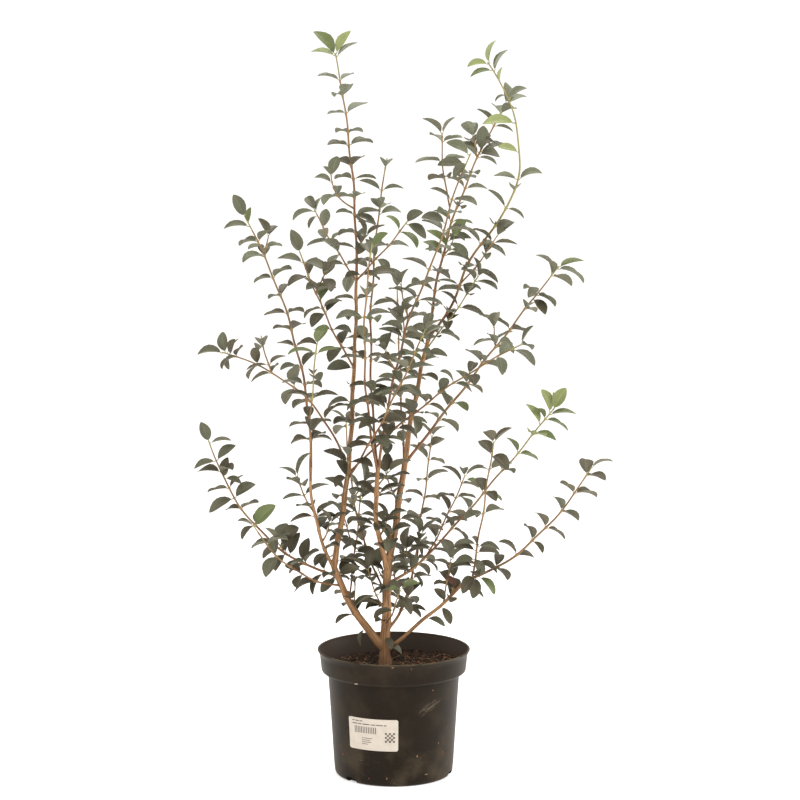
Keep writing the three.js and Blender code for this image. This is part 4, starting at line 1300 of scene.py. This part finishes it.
def barkSkin(name, base, light, dark, ridgeWidth, relief):
    skin, tree, shader = startSkin(name, specular=0.3, roughness=0.7)
    place, grain = objectPlace(tree), attributePlace(tree, "grain")["Vector"]
    ridge = useGroup(tree, ridges, {"Grain": grain, "Width": ridgeWidth, "Stretch": bark["stretch"]})
    patch = blotches(tree, place, size=0.012, low=0.42, high=0.7)
    colour = mixColour(tree, ridge["Ridge"], dark, base)
    colour = mixColour(tree, times(tree, patch, bark["patchShare"]), colour, light)
    knob = attributePlace(tree, "knob")["Fac"]
    colour = mixColour(tree, times(tree, knob, bark["knobShare"]), colour, light)
    stained = ramp(tree, heightAt(tree, place), *bark["footHeights"], bark["footShare"], 0.0)
    colour = mixColour(tree, stained, colour, bark["foot"])  # darker where the trunk stands in the compost
    rough = ramp(tree, patch, 0.0, 1.0, start=0.62, end=0.8)
    raised = bump(tree, ridge["Height"], strength=0.7, distance=relief)
    fill(tree, shader, {"Base Color": colour, "Roughness": rough, "Normal": raised})
    return skin


def lobeLine(index):  # one foot lobe of the trunk's flare, from inside the trunk down into the compost
    turn = 2 * math.pi * (index + trunk["lobeShift"] * chance(index, draws["lobe"])) / trunk["lobes"]
    out = np.array((math.cos(turn), math.sin(turn), 0.0))
    foot, count, (bendOut, bendUp) = np.array(trunk["foot"]), trunk["lobePoints"], trunk["lobeBend"]
    high = foot + up * trunk["lobeRise"] + out * trunk["lobeTop"]
    low = foot - up * trunk["buried"] + out * trunk["lobeReach"]
    middle = foot + up * bendUp + out * bendOut
    points = curved(high, middle, low, np.linspace(0.0, 1.0, count)[:, None])
    runs = np.linspace(0.0, trunk["lobeRise"], count)
    return points, np.linspace(*trunk["lobeRadii"], count), runs, np.zeros(count)


def makeBark():
    skin = barkSkin("tan bark", bark["tan"], bark["light"], bark["crack"], ridgeWidth=0.0024, relief=0.0009)
    points, radii, runs, knobs = limbs["trunk"].line(bark["step"])
    flare = trunk["flareRadius"] * np.exp(-(runs - runs[0]) / trunk["flareHeight"])
    buried = points[0] - up * trunk["buried"]
    radii = np.append(radii[0] + flare[0], radii + flare)
    runs = np.append(runs[0] - trunk["buried"], runs)
    lines = [(np.vstack((buried, points)), radii, runs, np.append(0.0, knobs))]
    lines += [lobeLine(index) for index in range(trunk["lobes"])]
    lines += [limbs[name].line(bark["step"]) for name in boughNodes]
    draft = lineMesh("limb tubes", lines)
    tubes = growPiece("limb tubes", draft, tubeTree, {"Sides": bark["sides"], "Skin": skin})
    piece = newPiece("trunk_and_boughs", tubes.data.copy())
    melt = piece.modifiers.new("melt", "REMESH")
    melt.mode = "VOXEL"
    melt.voxel_size = bark["voxel"]
    ease = piece.modifiers.new("ease", "SMOOTH")
    ease.iterations = bark["melt"]
    settings = {"Depth": bark["depth"], "Ridge": bark["ridge"], "Stretch": bark["stretch"]}
    addMaker(piece, reliefTree, settings | {"Tubes": tubes, "Skin": skin})
    even = piece.modifiers.new("even", "SMOOTH")
    even.iterations = 1
    settle(piece)
    dropPiece(tubes)
    finishPiece(piece, "bark", "trunk", *boughNodes)


# Leaves: one closed blade in a few forms, all of length one, with its own short stalk

leaf = dict(
    rows=(0.08, 0.2, 0.35, 0.52, 0.69, 0.84, 0.94), columns=(-1.0, -0.5, 0.0, 0.5, 1.0),
    width=0.60, thickness=0.016, thinning=0.5, stalk=0.085, stalkRadius=0.020, forms=16,
    curl=(24.0, 64.0), fold=(22.0, 46.0), twist=(-14.0, 14.0), wave=0.04, sway=(-0.06, 0.06),
    length=(0.028, 0.041), angle=(54.0, 76.0), sag=12.0, tipAngle=(22.0, 40.0), tipSize=(0.80, 1.05),
    gloss=(1.0, 0.92, 0.78, 1.0), swerve=(-14.0, 14.0), faceUp=0.8, faceAlong=0.6, faceTilt=0.30,
    ribSteps=40, curlGrowth=1.3, fullness=0.95, roundness=0.78, foldEase=0.35, twistFrom=0.2, waves=9.0,
    stalkRings=((-0.02, 1.3), (0.5, 1.0), (1.25, 0.75)), stalkSides=5, stalkDrop=0.01,  # share and size
    lift=0.25, rootShare=0.7,  # a leaf that hangs below its stem turns up a little
    placedTilt=0.2, veinPairs=8.0, veinSlant=0.2, veinShare=0.6, ribLift=0.01, roughSpread=0.06,
)
room = dict(  # balls that keep leaves and limbs apart
    places=(0.3, 0.55, 0.8, 1.0), ball=0.15, packed=0.6, limbStep=0.004, own=0.016,
    tries=(0.0, 24.0, -24.0, 48.0, -48.0), twigPlaces=(0.35, 1.0, 6),
)


def leafTrait(trait, *keys):
    return pick(leaf[trait], *keys, draws[trait])


def leafForm(index):
    form = {bend: math.radians(leafTrait(bend, index)) for bend in ("curl", "fold", "twist")}
    return form | dict(sway=leafTrait("sway", index), phase=index)


def midrib(form, share):  # place and slope of the midrib, which bends down more and more
    turns = form["curl"] * np.linspace(0.0, share, leaf["ribSteps"]) ** leaf["curlGrowth"]
    mid = (turns[1:] + turns[:-1]) / 2
    gap = share / len(mid)
    return np.array((np.cos(mid).sum() * gap, form["sway"] * share ** 2, -np.sin(mid).sum() * gap)), turns[-1]


def bladePoint(form, share, side, lift):
    place, slope = midrib(form, share)
    normal = np.array((math.sin(slope), 0.0, math.cos(slope)))
    half = leaf["width"] / 2 * math.sin(math.pi * share ** leaf["fullness"]) ** leaf["roundness"]
    lean = form["fold"] * (1 - leaf["foldEase"] * share) * (1 if side >= 0 else -1)
    twist = form["twist"] * (share - leaf["twistFrom"])
    across = side * half
    wave = leaf["wave"] * half * side ** 2 * math.sin(leaf["waves"] * share + form["phase"] + side)
    sideways = across * np.array((0.0, math.cos(lean + twist), 0.0))
    offset = sideways + normal * (across * math.sin(lean + twist) + wave + lift)
    return place + offset + np.array((leaf["stalk"], 0.0, 0.0))


def leafMesh(index):
    form = leafForm(index)
    rows, columns = leaf["rows"], leaf["columns"]
    spots = [(0.0, 0.0, 0.0), (1.0, 0.0, 0.0)]  # share along, share across and lift of each vertex
    spots += [(share, side, 0.0) for share in rows for side in columns]
    inner = columns[1:-1]
    lows = [-leaf["thickness"] * math.sin(math.pi * share) ** leaf["thinning"] for share in rows]
    spots += [(share, side, low) for share, low in zip(rows, lows) for side in inner]
    verts = [bladePoint(form, *spot) for spot in spots]
    wide, lowStart = len(columns), 2 + len(rows) * len(columns)

    def lowSpot(row, column):
        onEdge = column in (0, wide - 1)
        return 2 + row * wide + column if onEdge else lowStart + row * len(inner) + column - 1

    faces, under, lastRow = [], [], len(rows) - 1
    for column in range(wide - 1):
        top, after = 2 + lastRow * wide + column, column + 1
        faces += [(0, 2 + column, 3 + column), (1, top + 1, top)]
        faces.append((0, lowSpot(0, after), lowSpot(0, column)))
        faces.append((1, lowSpot(lastRow, column), lowSpot(lastRow, after)))
        under += [False, False, True, True]
        for row in range(lastRow):
            spot = 2 + row * wide + column
            corners = ((row, column), (row, after), (row + 1, after), (row + 1, column))
            faces.append((spot, spot + wide, spot + wide + 1, spot + 1))
            faces.append(tuple(lowSpot(*corner) for corner in corners))
            under += [False, True]
    blade = [(share, side, 0.0) for share, side, _ in spots]
    start, sides, stalkRings = len(verts), leaf["stalkSides"], leaf["stalkRings"]
    for share, size in stalkRings:
        radius = leaf["stalkRadius"] * size
        for turn in (2 * math.pi * step / sides for step in range(sides)):
            drop = leaf["stalkDrop"] * share
            verts.append((leaf["stalk"] * share, radius * math.cos(turn), radius * math.sin(turn) - drop))
            blade.append((0.0, 0.0, 1.0))
    last = start + (len(stalkRings) - 1) * sides
    for ring in range(start, last, sides):
        for step in range(sides):
            low, after = ring + step, ring + (step + 1) % sides
            faces.append((low, after, after + sides, low + sides))
    faces.append(tuple(start + step for step in reversed(range(sides))))
    faces.append(tuple(last + step for step in range(sides)))
    stalkFaces = len(faces) - len(under)
    mesh = plainMesh("leaf form", verts, faces)
    mesh.shade_smooth()
    addAttribute(mesh, "under", "BOOLEAN", "FACE", np.array(under + [False] * stalkFaces))
    addAttribute(mesh, "stalk", "BOOLEAN", "FACE", np.array([False] * len(under) + [True] * stalkFaces))
    addAttribute(mesh, "blade", "FLOAT_VECTOR", "POINT", np.array(blade, np.float32))
    addOutline(mesh, wide, len(rows))
    return mesh


def addOutline(mesh, wide, rowCount):  # the blade's edge is sharp, so both faces keep their own shading
    edge = {0, 1} | {2 + row * wide + column for row in range(rowCount) for column in (0, wide - 1)}
    sharp = np.array([all(corner in edge for corner in line.vertices) for line in mesh.edges])
    addAttribute(mesh, "sharp_edge", "BOOLEAN", "EDGE", sharp)


# Growing the shoots: pairs of leaves a quarter turn apart, with side twigs by the same chances each time

# Leaf colours by kind. Glare-lit leaves are painted light, the lighter green near the top of the plant; dark
# leaves, set low and inside the crown, paint its shade
leafKinds = dict(
    dark=dict(blade=srgb(80, 76, 60), under=srgb(103, 98, 81)),
    middle=dict(blade=srgb(91, 92, 74), under=srgb(113, 112, 93)),
    hazy=dict(blade=srgb(104, 108, 87), under=srgb(124, 126, 106)),
    young=dict(blade=srgb(97, 108, 68), under=srgb(114, 122, 87)),
    pale=dict(blade=srgb(137, 146, 95), under=srgb(149, 156, 112)),
    dead=dict(blade=srgb(86, 56, 44), under=srgb(104, 72, 56)),
)
leafFinish = dict(
    blade=dict(roughness=0.48, specular=0.36, ribLight=1.3, depth=0.0004),
    under=dict(roughness=0.65, specular=0.25, ribLight=1.15, depth=-0.0004),
)
shootSkins = dict(
    brown=dict(base=srgb(145, 104, 74), light=srgb(156, 118, 83), dark=srgb(102, 70, 51)),
    tan=dict(base=srgb(146, 116, 80), light=srgb(162, 131, 92), dark=srgb(118, 91, 62)),
    green=dict(base=srgb(154, 146, 96), light=srgb(172, 160, 106), dark=srgb(132, 122, 78)),
    stalk=srgb(156, 154, 100),
)
tints = dict(  # chances of each kind of leaf, most of them by height: lighter kinds up high are painted light, the dark kind low down is painted shade
    pale=0.55, youngHeights=(0.62, 0.90), young=0.07, youngElsewhere=0.012,
    glareLitFrom=0.6, glareLitGrowth=2.0, middleLeast=0.1, middleGrowth=0.9,
)
takenCentres, takenRadii, takenOwners = [], [], []
leafSpots = {kind: [] for kind in leafKinds}
twigLimbs = []


def takeLimb(limb):
    count = max(2, round(limb.length / room["limbStep"]))
    for share in np.linspace(0.0, 1.0, count + 1):
        takenCentres.append(limb.at(share))
        takenRadii.append(limb.radius(share))
        takenOwners.append(limb.name)


def pairPlaces(limb, internode):
    count = max(1, round(limb.length / internode))
    shifts = [2 * chance(*limb.keys, step, draws["spacing"]) - 1 for step in range(count)]
    places = [(step + 0.5 + shoot["internodeSpread"] * shift) / count for step, shift in enumerate(shifts)]
    return places + [1.0]


def sideTwig(limb, share, keys, lengths, angle):
    heading, start = limb.heading(share), limb.at(share)
    turn = 2 * math.pi * chance(*keys, draws["twigTurn"])
    if around(heading, turn)[2] < shoot["twigLowest"]:  # a slanting stem bears its twigs on its upper side
        turn += math.pi
    lean = math.radians(angle)
    away = heading * math.cos(lean) + around(heading, turn) * math.sin(lean)
    length = pick(lengths, *keys, draws["twigLength"])
    tip = start + away * length + up * length * shoot["twigRise"]
    name, middle = f"{limb.name}/{len(twigLimbs)}", start + away * length / 2
    return Limb(name, start, middle, tip, shoot["twigRadii"], (*keys, draws["ownTwig"]), limb.radius(share))


def insideMass(points, mass):
    low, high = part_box(mass)
    spare = shoot["reachSpare"]
    return (points > np.array(low) - spare).all() and (points < np.array(high) + spare).all()


def isClear(centres, radius, owner, root):
    spots, sizes = np.array(takenCentres), np.array(takenRadii)
    gaps = np.linalg.norm(spots[None] - centres[:, None], axis=2) - sizes[None] - radius
    near = np.linalg.norm(spots - root, axis=1) < room["own"]
    own = near & np.array([name == owner for name in takenOwners])
    return (gaps[:, ~own] > 0.0).all()


# One leaf, turned a little round its stem where others are in its way, or left out
def addLeaf(limb, share, turn, keys, size, angle, kind, mass, droop=0.0, toFront=0.0, loose=1.0):
    heading = limb.heading(share)
    formIndex = int(chance(*keys, draws["form"]) * leaf["forms"])
    curl = leafForm(formIndex)["curl"]
    for tryTurn in room["tries"]:
        out = around(heading, turn + math.radians(tryTurn))
        lean = math.radians(angle)
        along = heading * math.cos(lean) + out * math.sin(lean)
        along = unit(along + up * (leaf["lift"] * max(0.0, -out[2]) - droop))
        face = heading * leaf["faceAlong"] + up * leaf["faceUp"] - acrossView * toFront
        tilt = np.array([chance(*keys, draws["tilt"] + axis) - 0.5 for axis in range(3)])
        face = face + tilt * 2 * leaf["faceTilt"] * loose
        face = unit(face - along * face.dot(along))
        root = limb.at(share) + out * limb.radius(share) * leaf["rootShare"]
        turns = curl * np.array(room["places"])[:, None]
        reach = size * (leaf["stalk"] + np.sin(turns) / curl)
        centres = root + along * reach - face * size * (1 - np.cos(turns)) / curl
        if mass and not insideMass(centres, mass):
            continue
        if isClear(centres, room["ball"] * size, limb.name, root):
            for centre in centres:
                takenCentres.append(centre)
                takenRadii.append(room["ball"] * size * room["packed"])
                takenOwners.append("leaf")
            leafSpots[kind].append((root, along, face, size, formIndex))
            return


# Tip leaves are fresh; the others go by chance and height: glare-lit and middle leaves grow commoner higher
# up and dark ones lower down, painting light on top and shade below
def kindFor(mass, share, height, keys):
    if share >= freshFrom.get(mass, usualFresh):
        return "pale" if chance(*keys, draws["fresh"]) < tints["pale"] else "young"
    roll = chance(*keys, draws["tint"])
    low, high = tints["youngHeights"]
    if roll < tints["young" if low < height < high else "youngElsewhere"]:
        return "young"
    if roll < tints["glareLitGrowth"] * (height - tints["glareLitFrom"]):
        return "hazy"
    return "middle" if roll < tints["middleLeast"] + tints["middleGrowth"] * height else "dark"


def dressLimb(limb, mass, first, last, internode, leaves=1.0, stemShare=None):
    places = pairPlaces(limb, internode)
    turn = chance(*limb.keys, draws["firstTurn"]) * math.pi
    limb.nodes = [share for share in places[:-1] if first < share < last]
    for pair, share in enumerate(places):
        if not first < share <= last:
            continue
        isTip = pair == len(places) - 1
        keys = (*limb.keys, pair)
        kind = kindFor(mass, share if stemShare is None else stemShare, limb.at(share)[2], keys)
        for side in (0, 1):
            sideKeys = (*keys, side)
            if not isTip and chance(*sideKeys, draws["borne"]) > leaves:
                continue
            swerve = math.radians(leafTrait("swerve", *sideKeys))
            flat = turn + (pair + 2 * side + 0.5) * math.pi / 2 + swerve
            size = leafTrait("length", *sideKeys)
            angle = leafTrait("angle", *sideKeys) + leaf["sag"] * (1 - share)
            if isTip:
                size *= leafTrait("tipSize", *sideKeys)
                angle = leafTrait("tipAngle", *sideKeys)
            addLeaf(limb, share, flat, sideKeys, size, angle, kind, mass)


def growTwigs(limb, mass, habit, first, last):
    for pair, share in enumerate(pairPlaces(limb, habit["internode"])[1:-2]):
        keys = (*limb.keys, pair, draws["twigs"])
        roll = chance(*keys, draws["twigKind"])
        if roll > habit["twigs"] + habit["spurs"] or not first < share < last:
            continue
        kind = "twig" if roll < habit["twigs"] else "spur"
        twig = sideTwig(limb, share, keys, shoot[kind + "Length"], shoot[kind + "Angle"])
        centres = twig.at(np.linspace(*room["twigPlaces"]))
        fits = not mass or insideMass(centres, mass)
        if fits and isClear(centres, shoot["twigRoom"], limb.name, twig.at(0.0)):
            takeLimb(twig)
            twigLimbs.append((twig, mass, share))


def growShoot(limb, share, tip, upright, name):  # a shoot of its own beside its stem
    start, end = limb.at(share), np.array(tip)
    corner = np.array((end[0], end[1], start[2] + shoot["uprightFrom"] * (end[2] - start[2])))
    middle = upright * corner + (1 - upright) * (start + end) / 2
    keys = (*limb.keys, draws["ownShoot"])
    twig = Limb(name, start, middle, end, shoot["twigRadii"], keys, limb.radius(share))
    takeLimb(twig)
    return twig


def growPlant():
    for limb in limbs.values():
        takeLimb(limb)
    for name, share, tip, mass, upright in sideShoots:
        twigLimbs.append((growShoot(limbs[name], share, tip, upright, name + "/side"), mass, share))
    placed = [(limbs[name], spot) for name, spots in placedLeaves for spot in spots]
    for index, (limb, (share, turn, size, angle, droop, toFront, kind)) in enumerate(placed):
        keys, turn = (*limb.keys, index, draws["placed"]), math.radians(turn)
        addLeaf(limb, share, turn, keys, size, angle, kind, None, droop, toFront, leaf["placedTilt"])
    habits = {row[0]: shootHabit | ownHabits.get(row[0], {}) for row in masses}
    for name, habit in habits.items():
        growTwigs(limbs[name], name, habit, habit["twigsFrom"], habit["twigsTo"])
    for name, (first, last) in leafyBoughs.items():
        if limbs[name].at(first)[2] < twiggyBelow:
            growTwigs(limbs[name], None, boughHabit, first, last)
    for name, habit in habits.items():
        dressLimb(limbs[name], name, habit["bare"], habit["last"], habit["internode"], habit["leaves"])
    for twig, mass, share in twigLimbs:
        dressLimb(twig, mass, shoot["twigBare"], 1.0, shoot["twigInternode"], stemShare=share)
    for name, (first, last) in leafyBoughs.items():
        dressLimb(limbs[name], None, first, last, boughHabit["leafInternode"], boughHabit["leaves"])
    print("leaves:", {kind: len(spots) for kind, spots in leafSpots.items()}, "twigs:", len(twigLimbs))


growPlant()
makeBark()


def makeTwigs():
    lines, step = {"brown": [], "tan": [], "green": []}, bark["step"]
    for name, *_ in masses:
        tan, green = tanFrom.get(name, usualTan), greenFrom.get(name, usualGreen)
        for kind, first, last in (("brown", 0.0, tan), ("tan", tan, green), ("green", green, 1.0)):
            lines[kind].append(limbs[name].line(step, first, last))
    for twig, mass, share in twigLimbs:
        isGreen = share > greenFrom.get(mass, usualGreen) - shoot["twigGreen"]
        isTan = share > tanFrom.get(mass, usualTan) - shoot["twigTan"]
        lines["green" if isGreen else "tan" if isTan else "brown"].append(twig.line(step))
    for kind, kindLines in lines.items():
        skin = barkSkin(kind + " shoots", **shootSkins[kind], ridgeWidth=0.0011, relief=0.0003)
        draft = lineMesh("twigs_" + kind, kindLines)
        piece = growPiece("twigs_" + kind, draft, tubeTree, {"Sides": shoot["sides"], "Skin": skin})
        finishPiece(piece, "foliage", *massNodes)


def leafSkin(name, colour, roughness, specular, ribLight, depth):
    skin, tree, shader = startSkin(name, specular, roughness)
    spot = attributePlace(tree, "blade")["Vector"]
    settings = {"Blade": spot, "Pairs": leaf["veinPairs"], "Slant": leaf["veinSlant"]}
    vein = useGroup(tree, veins, settings)["Height"]
    cloud = blotches(tree, objectPlace(tree), size=0.02, low=0.3, high=0.7)
    light = tuple(min(1.0, part * ribLight + leaf["ribLift"]) for part in colour[:3]) + (1.0,)
    base = mixColour(tree, cloud, darker(colour, share=0.82), colour)
    base = mixColour(tree, times(tree, vein, leaf["veinShare"]), base, light)
    spread = leaf["roughSpread"]
    rough = ramp(tree, cloud, 0.0, 1.0, roughness - spread, roughness + spread)
    relief = bump(tree, vein, strength=0.5, distance=depth)
    fill(tree, shader, {"Base Color": base, "Specular Tint": leaf["gloss"]})
    fill(tree, shader, {"Roughness": rough, "Normal": relief})
    return skin


def makeLeaves():
    store = shapeStore("leaf forms", [leafMesh(index) for index in range(leaf["forms"])])
    stalk, tree, shader = startSkin("leaf stalk", specular=0.3, roughness=0.6)
    shade = blotches(tree, objectPlace(tree), size=0.004, low=0.3, high=0.7)
    green = shootSkins["stalk"]
    fill(tree, shader, {"Base Color": mixColour(tree, shade, darker(green, share=0.75), green)})
    for kind, spots in leafSpots.items():
        if not spots:
            continue
        mesh = bpy.data.meshes.new("leaves_" + kind)
        roots, alongs, faces, sizes, shapes = zip(*spots)
        mesh.from_pydata([tuple(root) for root in roots], [], [])
        addAttribute(mesh, "along", "FLOAT_VECTOR", "POINT", np.array(alongs, np.float32))
        addAttribute(mesh, "face", "FLOAT_VECTOR", "POINT", np.array(faces, np.float32))
        addAttribute(mesh, "size", "FLOAT", "POINT", np.array(sizes, np.float32))
        addAttribute(mesh, "shape", "INT", "POINT", np.array(shapes, np.int32))
        blade, under = leafKinds[kind]["blade"], leafKinds[kind]["under"]
        settings = {
            "Shapes": store, "Stalk": stalk, "Blade": leafSkin(kind + " leaf", blade, **leafFinish["blade"]),
            "Underside": leafSkin(kind + " leaf underside", under, **leafFinish["under"]),
        }
        piece = growPiece("leaves_" + kind, mesh, leafTree, settings)
        finishPiece(piece, "foliage", *massNodes)
    dropStore(store)


makeTwigs()
makeLeaves()

print("done")
